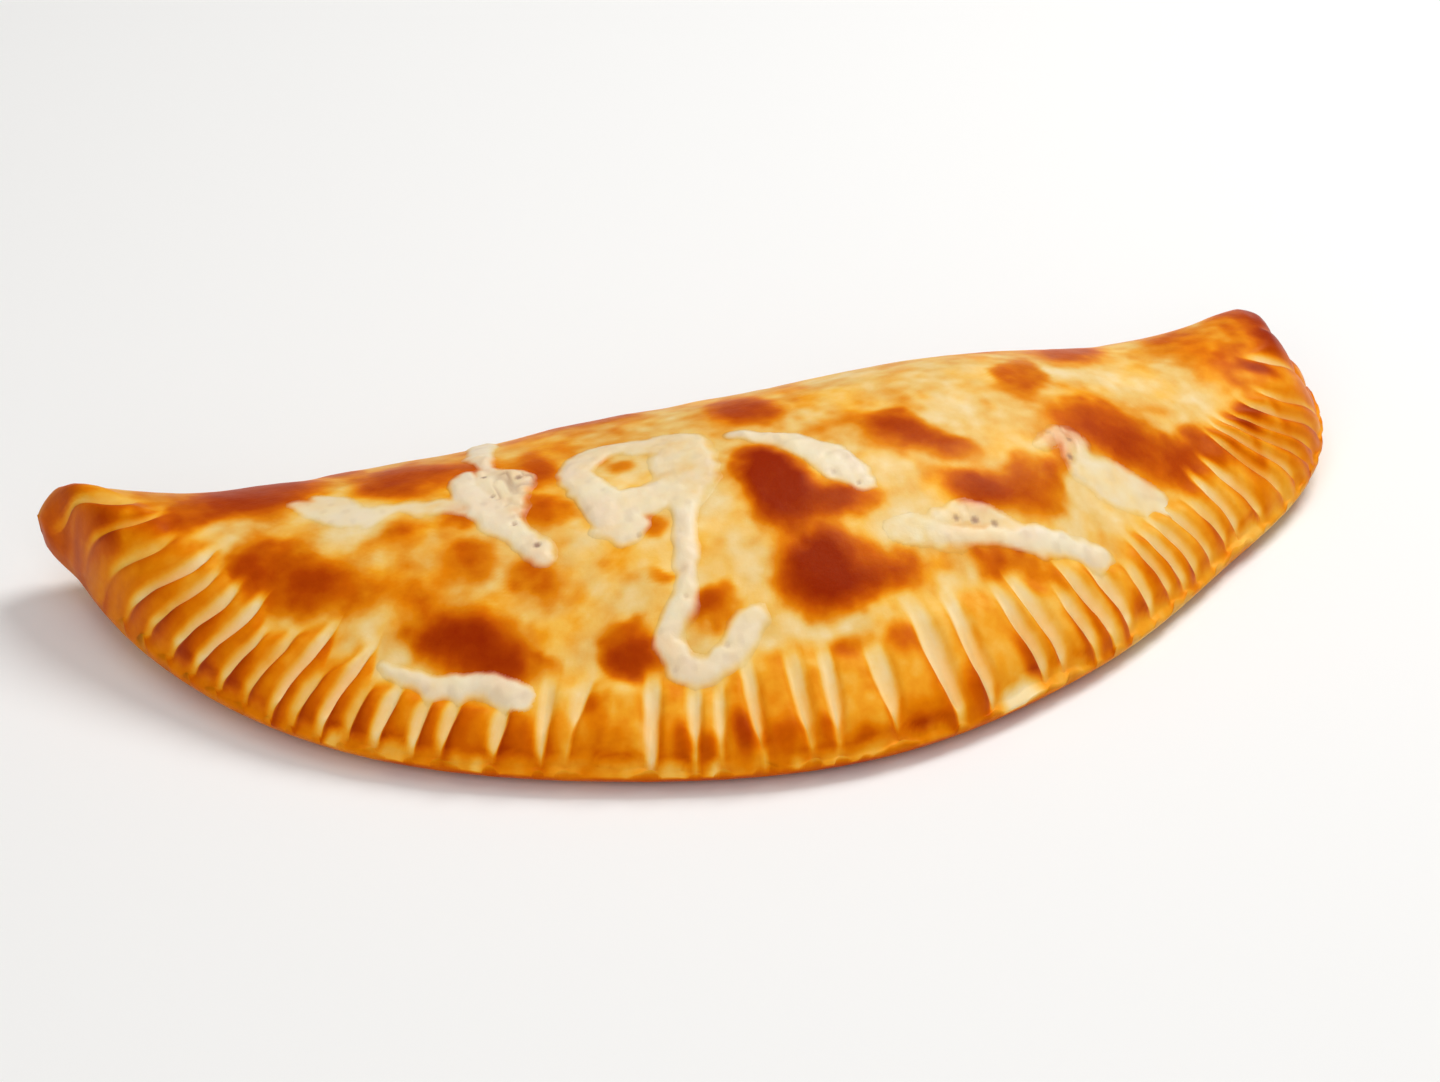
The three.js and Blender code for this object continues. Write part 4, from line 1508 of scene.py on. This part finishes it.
    def towards_focus(self, x: Array, y: Array, depths: Array) -> tuple[Array, Array]:
        """Points moved towards the focus by distances.

        Args:
            x: First coordinates of the points.
            y: Their second coordinates.
            depths: How far they are moved, in a column for a row of points at each distance.

        Returns:
            The coordinates of the moved points.
        """
        to_x, to_y = self.form.focus[0] - x, self.form.focus[1] - y
        size = np.hypot(to_x, to_y)
        return x + to_x / size * depths, y + to_y / size * depths

    def rim_browning(self, x: Array, y: Array, along: Array, inwards: Array) -> Array:
        """Browning of the crimped band.

        Ridges are orange, darker near the edge and in spots, one of which is a painted shadow, and darker
        still where painted crease shade lies at the feet of steep shoulders; they end in the crown's slightly
        paler border. The floors between them are cream, and so are a few webs. The lip at the edge is tan
        with pale crescents, over a browner seam.

        Args:
            x: First coordinates of the points.
            y: Their second coordinates.
            along: Their places along the rim.
            inwards: Their distances in from it.

        Returns:
            The browning.
        """
        crown = self.browning.level(x, y)
        reach = self.crimping.between(self.crimping.reach, along)
        border = smooth((inwards - 0.8 * reach) / 3.0) * (1.0 - smooth((inwards - reach - 4.0) / 8.0))
        crown = crown - 0.06 * border * clamp01((0.6 - crown) / 0.2)
        patch = 0.09 * Grain(5.5, 71).at(along, inwards * 0.7) + 0.05 * Grain(2.2, 72).at(along, inwards)
        ground = gauge(self.rim_ground, along / self.rim_line.length)
        outer = gauge(self.rim_outer, along / self.rim_line.length)
        ridge = ground + outer * (1.0 - smooth((inwards - 1.5) / 7.0)) + patch
        # Painted crease shade at the feet of steep shoulders darkens the ridges here.
        ridge = ridge + 0.26 * self.crimping.steep_foot_shade(along, inwards) + 0.5 * np.maximum(crown - 0.5, 0.0)
        level = blend(crown, np.maximum(ridge, crown), self.crimping.ridges(along, inwards))
        leaned = self.crimping.leaned(along, inwards)
        level = blend(level, 1.0, self.rim_spots.spots(leaned, inwards, Tone.BROWN) ** 1.25)
        level = blend(level, 0.16 + patch, self.rim_spots.spots(leaned, inwards, Tone.PALE))
        floors = self.crimping.paleness(along, inwards)
        level = blend(level, 0.05 + 0.5 * patch, floors)
        width = self.lip_width(along)
        shows = smooth(width - 0.2)
        lip = (1.0 - smooth((inwards - width) / 0.9)) * (1.0 - 0.7 * floors) * shows
        seam = np.exp(-(((inwards - width - 0.5) / 0.5) ** 2)) * (1.0 - 0.8 * floors) * shows
        level = level + 0.24 * seam * clamp01(0.6 + 0.8 * Grain(7.0, 55).at(along, 0.0 * along))
        crescents = self.crimping.lips(along) * self.lip_paleness(along)
        edge = ground + outer + gauge(self.rim_lip, along / self.rim_line.length)
        return blend(level, edge - 0.42 * crescents + patch, 0.9 * lip)

    def goldenness(self, x: Array, y: Array, along: Array, inwards: Array) -> Array:
        """How golden the crust is: fully on the crimps, fading to the crown's patches."""
        reach = self.crimping.between(self.crimping.reach, along)
        return blend(self.browning.golden(x, y), 0.9, 1.0 - smooth((inwards - reach + 1.0) / 6.0))

    def lip_paleness(self, along: Array) -> Array:
        """How pale the lip may be: pale along the front and brown at the horns."""
        share = along / self.rim_line.length
        return smooth((share - 0.1) / 0.12) * (1.0 - smooth((share - 0.56) / 0.12))

    def lay(self, skin: Surface, x: Array, y: Array) -> Array:
        """Add points of the crown, with their colouring, and return their indices."""
        colouring = {"browning": self.browning.level(x, y), "golden": self.browning.golden(x, y)}
        return skin.add(x, y, self.crown(x, y), **colouring)

    def lay_under(self, skin: Surface, x: Array, y: Array) -> Array:
        """Add points of the underside, with their browning, and return their indices."""
        return skin.add(x, y, self.form.base(x, y), browning=self.base_browning(x, y), golden=np.zeros(1))

    def surface(self) -> Surface:
        """Make the closed skin: the band, then rings of half as many columns, and half again, to the focus.

        Returns:
            The skin, with the browning and the goldenness at its points.
        """
        skin = Surface()
        x, y, z, level, golden = self.band()
        band = skin.add(x, y, z, browning=level, golden=golden)
        skin.rings(band, True)
        focus_x, focus_y = self.form.focus
        share = (np.arange(1, self.crown_rows + 1) / self.crown_rows * self.crown_share)[:, None]
        crown_x, crown_y = blend(x[-1:, ::2], focus_x, share), blend(y[-1:, ::2], focus_y, share)
        crown = self.lay(skin, crown_x, crown_y)
        skin.halve(band[-1], crown[0], True)
        skin.rings(crown, True)
        share = (np.arange(1, self.pole_rows + 1) / (self.pole_rows + 1))[:, None]
        pole_x, pole_y = blend(crown_x[-1:, ::2], focus_x, share), blend(crown_y[-1:, ::2], focus_y, share)
        pole = self.lay(skin, pole_x, pole_y)
        skin.halve(crown[-1], pole[0], True)
        skin.rings(pole, True)
        skin.pole(pole[-1], self.lay(skin, np.array([focus_x]), np.array([focus_y])), True)
        self.underside(skin, band[0], x[0], y[0])
        return skin

    def underside(self, skin: Surface, edge: Array, x: Array, y: Array) -> None:
        """Close the skin underneath: rings from the outline to the focus, lying on the base sheet.

        Args:
            skin: The skin, to which the underside is added.
            edge: Indices of the outline's points.
            x: Their first coordinates.
            y: Their second coordinates.
        """
        focus_x, focus_y = self.form.focus
        narrow = np.minimum(np.hypot(focus_x - x, focus_y - y) / 40.0, 1.0)
        base_x, base_y = self.towards_focus(x, y, np.array(self.BASE_DEPTHS)[:, None] * narrow)
        under = self.lay_under(skin, base_x, base_y)
        skin.rings(np.concatenate([edge[None], under]), False)
        share = (np.arange(1, self.base_rows + 1) / (self.base_rows + 1))[:, None]
        in_x, in_y = blend(base_x[-1:, ::2], focus_x, share), blend(base_y[-1:, ::2], focus_y, share)
        inner = self.lay_under(skin, in_x, in_y)
        skin.halve(under[-1], inner[0], False)
        skin.rings(inner, False)
        skin.pole(inner[-1], self.lay_under(skin, np.array([focus_x]), np.array([focus_y])), False)

    def base_browning(self, x: Array, y: Array) -> Array:
        """Browning of the underside: a mottled golden brown, darker at the rim's left half."""
        rim = blend(0.66, 0.34, smooth((x - 20.0) / 70.0))
        return blend(rim, 0.5, smooth(self.form.distance_in(x, y) / 9.0)) + uneven(self.BASE_PATCHES, x, y)

    def make(self, finish: bpy.types.Material) -> bpy.types.Object:
        """Build the piece, dress it and set it in place of the solid.

        Args:
            finish: The dough's material.

        Returns:
            The piece.
        """
        piece = self.surface().build("crust", self.form.centre())
        piece.data.materials.append(finish)
        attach(piece, "root")
        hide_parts(CRUST_NODE)
        return piece


@dataclass(frozen=True)
class Run:
    """One run of melted cheese.

    Attributes:
        stops: Stops of the centre line seen from above, each with the width there.
        rise: Height over the crust.
        veil: How far the crust shows through it, from 0 to 1.
        crumple: How crumpled and toasted it is, from 0 to 1.
    """

    stops: tuple[tuple[float, float, float], ...]
    rise: float = 0.9
    veil: float = 0.0
    crumple: float = 0.0

    def line(self, step: float = 0.7) -> tuple[Array, Array, Array]:
        """Points of the centre line and half the width at each, with the corners rounded off.

        Args:
            step: Distance between the points.

        Returns:
            The points' coordinates and the half widths.
        """
        stops = np.array(self.stops, float)
        gaps = np.hypot(*np.diff(stops[:, :2], axis=0).T)
        places = np.concatenate([[0.0], np.cumsum(gaps)])
        fine = np.linspace(0.0, places[-1], max(int(places[-1] / step), 6))
        index = np.interp(fine, places, np.arange(len(stops))) / (len(stops) - 1)
        return gauge(stops[:, 0], index), gauge(stops[:, 1], index), gauge(stops[:, 2], index) / 2.0


@dataclass(frozen=True)
class Pit:
    """A small burst bubble in the cheese, in millimetres.

    Attributes:
        x: Place of its middle along the length.
        y: Place of its middle from front to back.
        radius: Its radius.
        toast: How toasted it is, from 0 to 1.
    """

    x: float
    y: float
    radius: float = 0.8
    toast: float = 0.9


@dataclass
class CheesePatch:
    """A patch of melted cheese: runs joined into one layer that follows the crust.

    Attributes:
        name: The piece's name.
        runs: The runs that it joins.
        pits: Its burst bubbles.
        step: Distance between the mesh's points, in millimetres.
        margin: How far the mesh reaches past the outline.
        sink: How far its bottom lies under the crust.
        join: How far apart runs still flow together.
        from_fold: How far from the fold it ends.
        WARP_X: Grain that bends the outline sideways.
        WARP_Y: Grain that bends it from front to back.
        LUMPS: Grain of the height.
        PATCHES: Grain of how thin it is.
    """

    WARP_X = ((0.9, 5.2, 91), (0.4, 2.1, 92))
    WARP_Y = ((0.9, 4.8, 93), (0.4, 2.3, 94))
    LUMPS = ((0.32, 4.0, 95), (0.24, 1.7, 96))
    PATCHES = ((0.35, 5.0, 97), (0.25, 2.0, 89))

    name: str
    runs: tuple[Run, ...]
    pits: tuple[Pit, ...] = ()
    step: float = 0.5
    margin: float = 1.4
    sink: float = 1.0
    join: float = 1.6
    from_fold: float = 5.0

    def depth_in(self, x: Array, y: Array, form: PieForm) -> tuple[Array, Array]:
        """How far points lie inside the patch's outline, and the rise, veil and crumple there.

        Each run is the half width less the distance from its centre line. The runs are joined with a smooth
        maximum, and grain makes the outline uneven. The patch ends a little in from the fold.

        Args:
            x: First coordinates of the points.
            y: Their second coordinates.
            form: The pie's form.

        Returns:
            The depth inside, and rows of rise, veil and crumple.
        """
        warp_x, warp_y = x + uneven(self.WARP_X, x, y), y + uneven(self.WARP_Y, x, y)
        inside = np.full(x.shape, -50.0)
        nature = np.zeros((3, *x.shape))
        for run in self.runs:
            line_x, line_y, half = run.line()
            apart = np.hypot(warp_x[:, None] - line_x, warp_y[:, None] - line_y)
            deep = (half[None, :] - apart).max(1)
            pull = clamp01(0.5 + 0.5 * (deep - inside) / self.join)
            inside = blend(inside, deep, pull) + 0.6 * self.join * pull * (1.0 - pull)
            nature = blend(nature, np.array([run.rise, run.veil, run.crumple])[:, None], pull)
        return np.minimum(inside, form.fold_depth(form.station(x)) - y - self.from_fold), nature

    def heights(self, x: Array, y: Array, crust: Crust) -> tuple[Array, Array, Array, dict[str, Array]]:
        """Top and bottom of the layer at points, with its depth inside and its colouring.

        Over the cheese's middle the crimping under it is half filled. At its outline the layer dips under the
        crust, so that it meets it in a clean line, and takes on the crust's colour.

        Args:
            x: First coordinates of the points.
            y: Their second coordinates.
            crust: The crust under it.

        Returns:
            The top, the bottom, the depth inside and the named colouring.
        """
        inside, (rise, veil, crumple) = self.depth_in(x, y, crust.form)
        along, inwards = crust.rim_line.locate(x, y)
        along = along - (crust.crimping.leaned(along, inwards) - along)
        relief = crust.crimping.relief(along, inwards)
        ground = crust.crown(x, y)
        body = rise * (0.88 * smooth(inside / 2.8) + 0.12 * quarter_round(inside / 1.5))
        body = body * (1.0 + uneven(self.LUMPS, x, y))
        crease = crumple * smooth(1.0 - np.abs(Grain(3.4, 98).at(x * 1.5, y)) / 0.3) * smooth(inside / 1.2)
        crumpled = 0.4 * crumple * smooth(inside / 1.5) - 0.5 * crease
        thick = np.where(inside > 0.0, body + crumpled, 0.9 * inside)
        toast = 0.5 * crease * clamp01(0.7 + 0.8 * Grain(5.0, 99).at(x, y))
        fleck = smooth((Grain(2.2, 90).at(x, y) - 0.35) / 0.5) * smooth(inside / 1.6)
        toast = np.maximum(toast, 0.14 * fleck * (1.0 - veil))
        for pit in self.pits:
            away = np.hypot(x - pit.x, (y - pit.y) * 1.15) / pit.radius
            dent = np.exp(-(away**2))
            thick = thick - np.minimum(0.8 * pit.radius, 0.7 * np.maximum(body, 0.0)) * dent
            toast = np.maximum(toast, pit.toast * np.exp(-((away / 0.85) ** 4)) * smooth(inside / 0.8))
        filled = blend(1.0, 0.5, smooth(inside / 2.5))
        top = ground + relief * filled + thick
        bottom = ground + np.minimum(relief, 0.0) - self.sink
        patchy = 1.0 + uneven(self.PATCHES, x, y)
        thin = np.maximum(1.0 - smooth(inside / (1.8 + 4.0 * veil)), (0.08 + veil) * patchy)
        level = crust.rim_browning(x, y, along, inwards) * (0.6 + 0.4 * clamp01(thin) ** 2)
        golden = crust.goldenness(x, y, along, inwards)
        colouring = {"thin": thin, "toast": toast, "browning": level, "golden": golden}
        return top, np.minimum(bottom, top - 0.1), inside, colouring

    def surface(self, crust: Crust) -> Surface:
        """Make the closed layer from the cells of a square grid that lie inside the outline.

        Args:
            crust: The crust under it.

        Returns:
            The layer, with its colouring at its points.
        """
        lines = [run.line() for run in self.runs]
        reach = 1.2 * max(float(half.max()) for _, _, half in lines) + 2.0
        all_x, all_y = (np.concatenate([line[k] for line in lines]) for k in (0, 1))
        side_x = np.arange(all_x.min() - reach, all_x.max() + reach, self.step)
        side_y = np.arange(all_y.min() - reach, all_y.max() + reach, self.step)
        grid_x, grid_y = (part.reshape(-1) for part in np.meshgrid(side_x, side_y))
        rough, _ = self.depth_in(grid_x, grid_y, crust.form)
        near = rough > -self.margin
        top, bottom, inside, colouring = self.heights(grid_x[near], grid_y[near], crust)
        shape = (len(side_y), len(side_x))
        whole = near.reshape(shape)
        cells = whole[:-1, :-1] & whole[1:, :-1] & whole[:-1, 1:] & whole[1:, 1:]
        used = np.zeros(shape, bool)
        for rows in (slice(None, -1), slice(1, None)):
            for columns in (slice(None, -1), slice(1, None)):
                used[rows, columns] |= cells
        flat = used.reshape(-1)
        kept = flat[near]
        layer = Surface()
        number = np.full(flat.shape, -1)
        place = {name: values[kept] for name, values in colouring.items()}
        number[flat] = layer.add(grid_x[flat], grid_y[flat], top[kept], **place)
        upper = number.reshape(shape)
        lower = upper + int(flat.sum())
        layer.add(grid_x[flat], grid_y[flat], bottom[kept], **place)
        i, j = np.nonzero(cells)
        for sheet, upwards in ((upper, True), (lower, False)):
            layer.quads(sheet[i, j], sheet[i, j + 1], sheet[i + 1, j + 1], sheet[i + 1, j], upwards)
        self.walls(layer, upper, lower, cells)
        return layer

    @staticmethod
    def walls(layer: Surface, upper: Array, lower: Array, cells: Array) -> None:
        """Join the two sheets along the border of the cells, with the walls facing out.

        Args:
            layer: The layer, to which the walls are added.
            upper: The upper sheet's indices, on the grid.
            lower: The lower sheet's.
            cells: Which cells of the grid are filled.
        """
        padded = np.pad(cells, 1)
        for (di, dj), (a, b) in (
            ((-1, 0), ((0, 0), (0, 1))),
            ((0, 1), ((0, 1), (1, 1))),
            ((1, 0), ((1, 1), (1, 0))),
            ((0, -1), ((1, 0), (0, 0))),
        ):
            beside = padded[1 + di : padded.shape[0] - 1 + di, 1 + dj : padded.shape[1] - 1 + dj]
            i, j = np.nonzero(cells & ~beside)
            first, second = (i + a[0], j + a[1]), (i + b[0], j + b[1])
            layer.quads(lower[first], lower[second], upper[second], upper[first])

    def make(self, crust: Crust, finish: bpy.types.Material) -> bpy.types.Object:
        """Build the piece, dress it and set it on the crust.

        Args:
            crust: The crust under it.
            finish: The cheese's material.

        Returns:
            The piece.
        """
        piece = self.surface(crust).build(self.name, crust.form.centre())
        piece.data.materials.append(finish)
        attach(piece, "root")
        return piece


CHEESE = (
    CheesePatch(
        "cheese_left_cross",
        (
            Run(
                ((-47, -7, 5), (-49.5, -15, 6), (-53, -26, 6.4), (-55, -34, 6.2), (-55.4, -41, 4)),
                0.8, 0.05,
            ),
            Run(
                ((-60.5, -39, 4.5), (-61, -44, 8), (-61, -49, 11), (-59.5, -55, 9.6), (-57.5, -60, 8.4)),
                0.8,
            ),
            Run(((-57.5, -60, 8.4), (-55.3, -64.5, 8), (-53.8, -68.5, 7.8), (-52.6, -72, 5)), 0.8, 0.1),
            Run(((-57, -41, 7), (-53.5, -44.5, 10), (-50.5, -46.5, 8)), 0.6, 0.2, 1.0),
            Run(((-54.5, -46, 10), (-54.5, -52, 8.5), (-55.5, -58, 6)), 0.6, 0.2, 0.9),
            Run(((-50, -48, 5), (-52.2, -53, 4.6), (-53.6, -57, 5)), 0.6, 0.3, 0.6),
            Run(((-65, -49.5, 7.5), (-70, -47, 6.4), (-75, -44.5, 5), (-79.5, -41.5, 4)), 0.25, 0.4),
            Run(
                ((-95, -31, 5), (-91.5, -34.5, 10), (-88.5, -38, 11), (-85.5, -41.5, 9), (-79, -43, 6)),
                0.14, 0.3,
            ),
            Run(((-90, -30, 4.5), (-88, -35, 8), (-86.5, -39, 9), (-84, -45, 6)), 0.12, 0.3),
        ),
        (
            Pit(-53.4, -68.0, 1.0),
            Pit(-50.4, -45.6, 1.0, 0.8),
            Pit(-57.0, -42.0, 0.8, 0.8),
            Pit(-57.6, -50.0, 0.7, 0.6),
            Pit(-56.0, -60.5, 0.7, 0.6),
        ),
    ),
    CheesePatch(
        "cheese_loop",
        (
            Run(
                ((-23.5, -45, 6), (-29.5, -43.6, 7), (-35.5, -45.4, 8), (-38.8, -50, 9), (-38.8, -56, 9)),
                0.7, 0.15,
            ),
            Run(((-38.8, -56, 9), (-37.6, -61, 10), (-36, -66, 11.4), (-35, -70.5, 10.5)), 0.8, 0.05),
            Run(((-41, -69.5, 3.6), (-36, -70.5, 6)), 0.6, 0.4),
            Run(((-35, -64.5, 10), (-28, -65, 10), (-21, -64, 10)), 0.7, 0.15),
            Run(((-24, -45.5, 7), (-19, -47, 8.4), (-14, -50, 9.6)), 0.6, 0.4),
            Run(
                ((-15.5, -49, 9.6), (-16, -52, 13), (-17, -56, 16), (-18, -61, 15), (-20.4, -66, 11)),
                0.5, 0.4,
            ),
            Run(((-20.4, -66, 11), (-22, -71, 7)), 0.7, 0.2),
            Run(
                ((-22, -71, 7), (-23.6, -76, 6), (-25.4, -82, 5.6), (-27.6, -88, 5.8), (-30, -92, 6.4)),
                0.8, 0.12,
            ),
            Run(
                (
                    (-30, -92, 6.4), (-33, -95.5, 7), (-34.8, -99.5, 7.6),
                    (-34, -103.2, 7.4), (-30.6, -105.4, 6.8),
                ),
                0.8, 0.1,
            ),
            Run(
                (
                    (-30.6, -105.4, 6.8), (-26.6, -105.2, 7), (-22.6, -103.4, 7.8),
                    (-19.2, -101, 8), (-15.6, -98.8, 6),
                ),
                0.7, 0.2,
            ),
        ),
        (
            Pit(-33.0, -74.0, 0.8, 0.4),
            Pit(-23.6, -102.6, 0.9, 0.25),
            Pit(-35.4, -104.0, 0.9, 0.2),
            Pit(-28.6, -91.0, 0.7, 0.2),
        ),
    ),
    CheesePatch(
        "cheese_bow",
        (
            Run(
                ((-4.5, -51.5, 3.6), (-1, -53, 4.8), (3.5, -56, 6), (7.5, -59.5, 7.4), (12, -64.5, 9.6)),
                0.7, 0.1,
            ),
            Run(((12, -64.5, 9.6), (14.6, -69.5, 10.4), (16, -73.4, 7.8)), 0.8, 0.05),
        ),
        (Pit(11.5, -70.6, 0.9, 0.3), Pit(15.5, -75.0, 0.7, 0.4)),
    ),
    CheesePatch(
        "cheese_front_strand",
        (
            Run(((19, -86.4, 6), (23, -87.6, 8), (28, -88.4, 8)), 0.12, 0.68),
            Run(((28, -88.6, 7.4), (32, -88.8, 7), (36, -89.4, 6), (41, -89.8, 5.8)), 0.55, 0.25),
            Run(
                ((41, -89.8, 5.8), (46, -90, 7), (51, -90.4, 6.6), (56, -90.8, 6.2), (60, -91.6, 6.6)),
                0.8, 0.05,
            ),
            Run(((60, -91.6, 6.6), (63, -92.4, 7), (65.6, -92.2, 5)), 0.8, 0.1),
            Run(((30, -85, 5), (35, -84.6, 7), (40, -85.4, 7.4), (45, -87.6, 6)), 0.3, 0.5, 0.45),
        ),
        (Pit(33.4, -85.8, 0.9, 0.7), Pit(37.4, -86.4, 1.1, 0.8), Pit(41.6, -87.2, 1.0, 0.7)),
    ),
    CheesePatch(
        "cheese_right_patch",
        (
            Run(((69, -73.6, 9), (73.5, -74.8, 12), (78.5, -75.8, 11.6), (84, -76.6, 8)), 0.14, 0.42),
            Run(
                ((61, -67.4, 6), (64.6, -65.4, 7), (68, -67, 7), (67.6, -71, 6.6), (67.4, -75, 6)),
                0.2, 0.55, 0.6,
            ),
        ),
        (Pit(65.4, -71.0, 0.9, 0.8), Pit(67.0, -66.6, 0.8, 0.6)),
    ),
    CheesePatch(
        "cheese_rim_strand",
        (
            Run(
                (
                    (-91, -80.6, 2.4), (-89, -83.2, 4.2), (-86, -86.4, 5.8),
                    (-82.4, -89.4, 6), (-78.6, -91, 5.6),
                ),
                0.7, 0.15,
            ),
            Run(
                ((-78.6, -91, 5.8), (-75, -92.4, 5.8), (-72, -94.2, 6.8), (-69, -96.6, 7), (-66.4, -99.6, 5)),
                0.8, 0.05,
            ),
        ),
    ),
)


@dataclass(frozen=True)
class Studio:
    """The pale floor, the soft light and the camera at the photograph's viewing angle.

    Attributes:
        floor_size: Side of the floor, in metres.
        floor_colour: Its colour.
        floor_roughness: Its roughness.
        world_light: Strength of the even light from all round.
        lens: Focal length, in millimetres.
        sensor: Width of the sensor, in millimetres.
        reach: How far the camera sees, in metres.
        distance: From the aim to the camera, in metres.
        elevation: Angle of the view over the table, in degrees.
        azimuth: Turn of the view round the pie, in degrees.
        roll: Turn of the picture, in degrees.
        aim: Point of the table that the camera looks at, in the shaping frame, in millimetres.
    """

    LAMPS = (
        ("key", (0.6, 0.3, 0.95), 0.6, 8.2),
        ("fill", (-0.5, -1.0, 0.8), 1.2, 6.6),
        ("top", (-0.1, -0.1, 1.3), 1.1, 3.0),
    )

    floor_size: float = 6.0
    floor_colour: Colour = (250, 249, 247)
    floor_roughness: float = 0.9
    world_light: float = 0.2
    lens: float = 125.0
    sensor: float = 36.0
    reach: float = 20.0
    distance: float = 1.10415
    elevation: float = 31.55
    azimuth: float = -19.0
    roll: float = -0.34
    aim: tuple[float, float] = (0.0, -30.0)

    def floor(self) -> None:
        """Lay the floor."""
        half = self.floor_size / 2.0
        mesh = bpy.data.meshes.new("floor")
        corners = [(-half, -half, 0.0), (half, -half, 0.0), (half, half, 0.0), (-half, half, 0.0)]
        mesh.from_pydata(corners, [], [(0, 1, 2, 3)])
        piece = bpy.data.objects.new("floor", mesh)
        bpy.context.scene.collection.objects.link(piece)
        material = bpy.data.materials.new("pale_floor")
        material.use_nodes = True
        bsdf = material.node_tree.nodes["Principled BSDF"]
        bsdf.inputs["Base Color"].default_value = linear(self.floor_colour)
        bsdf.inputs["Roughness"].default_value = self.floor_roughness
        mesh.materials.append(material)

    def light(self) -> None:
        """Hang the soft lights and set the world's even light."""
        for name, place, size, power in self.LAMPS:
            lamp = bpy.data.lights.new(name, "AREA")
            lamp.shape = "DISK"
            lamp.size = size
            lamp.energy = power
            holder = bpy.data.objects.new(name, lamp)
            holder.location = place
            holder.rotation_euler = (-Vector(place)).to_track_quat("-Z", "Y").to_euler()
            bpy.context.scene.collection.objects.link(holder)
        world = bpy.data.worlds.new("studio")
        world.use_nodes = True
        background = world.node_tree.nodes["Background"]
        background.inputs["Color"].default_value = (1.0, 1.0, 1.0, 1.0)
        background.inputs["Strength"].default_value = self.world_light
        bpy.context.scene.world = world
        bpy.context.scene.view_settings.view_transform = "Standard"

    def camera(self, centre: tuple[float, float]) -> None:
        """Set the camera at the photograph's distance, height and direction, turned by its slight roll.

        Args:
            centre: The point of the shaping frame that is the part's origin in plan.
        """
        turn, tilt = math.radians(self.azimuth), math.radians(self.elevation)
        aim = Vector(((self.aim[0] - centre[0]) * MILLIMETRE, (self.aim[1] - centre[1]) * MILLIMETRE, 0.0))
        back = Vector((math.sin(turn) * math.cos(tilt), -math.cos(turn) * math.cos(tilt), math.sin(tilt)))
        lens = bpy.data.cameras.new("camera")
        lens.lens = self.lens
        lens.sensor_width = self.sensor
        lens.sensor_fit = "HORIZONTAL"
        lens.clip_end = self.reach
        holder = bpy.data.objects.new("camera", lens)
        look = (-back).to_track_quat("-Z", "Y").to_matrix().to_4x4()
        rolled = look @ Matrix.Rotation(math.radians(self.roll), 4, "Z")
        holder.matrix_world = Matrix.Translation(aim + back * self.distance) @ rolled
        bpy.context.scene.collection.objects.link(holder)
        bpy.context.scene.camera = holder

    def make(self, centre: tuple[float, float]) -> None:
        """Set up the whole studio.

        Args:
            centre: The point of the shaping frame that is the part's origin in plan.
        """
        self.floor()
        self.light()
        self.camera(centre)


def corners(box: object) -> list[list[float]]:
    """A box's two corners as plain lists."""
    return [[float(value) for value in corner] for corner in box]


def main() -> None:
    """Build the studio, the crust and the cheese in order."""
    logging.basicConfig(level=logging.INFO, format="%(name)s: %(message)s")
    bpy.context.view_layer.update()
    form = PieForm()
    rim_line = RimLine(form)
    rim_spots = Browning(marks=RIM_MARKS, warp=0.3)
    crust = Crust(form, rim_line, Crimping(FORK_MARKS, rim_line.length), Browning(), rim_spots)
    Studio().make(form.centre())
    groups = Groups()
    piece = crust.make(CrustFinish().material(groups))
    log.info("%s: %d faces, rim %.1f mm", piece.name, len(piece.data.polygons), rim_line.length)
    cheese = CheeseFinish().material(groups)
    for patch in CHEESE:
        piece = patch.make(crust, cheese)
        log.info("%s: %d faces", piece.name, len(piece.data.polygons))


if __name__ == "__main__":
    main()
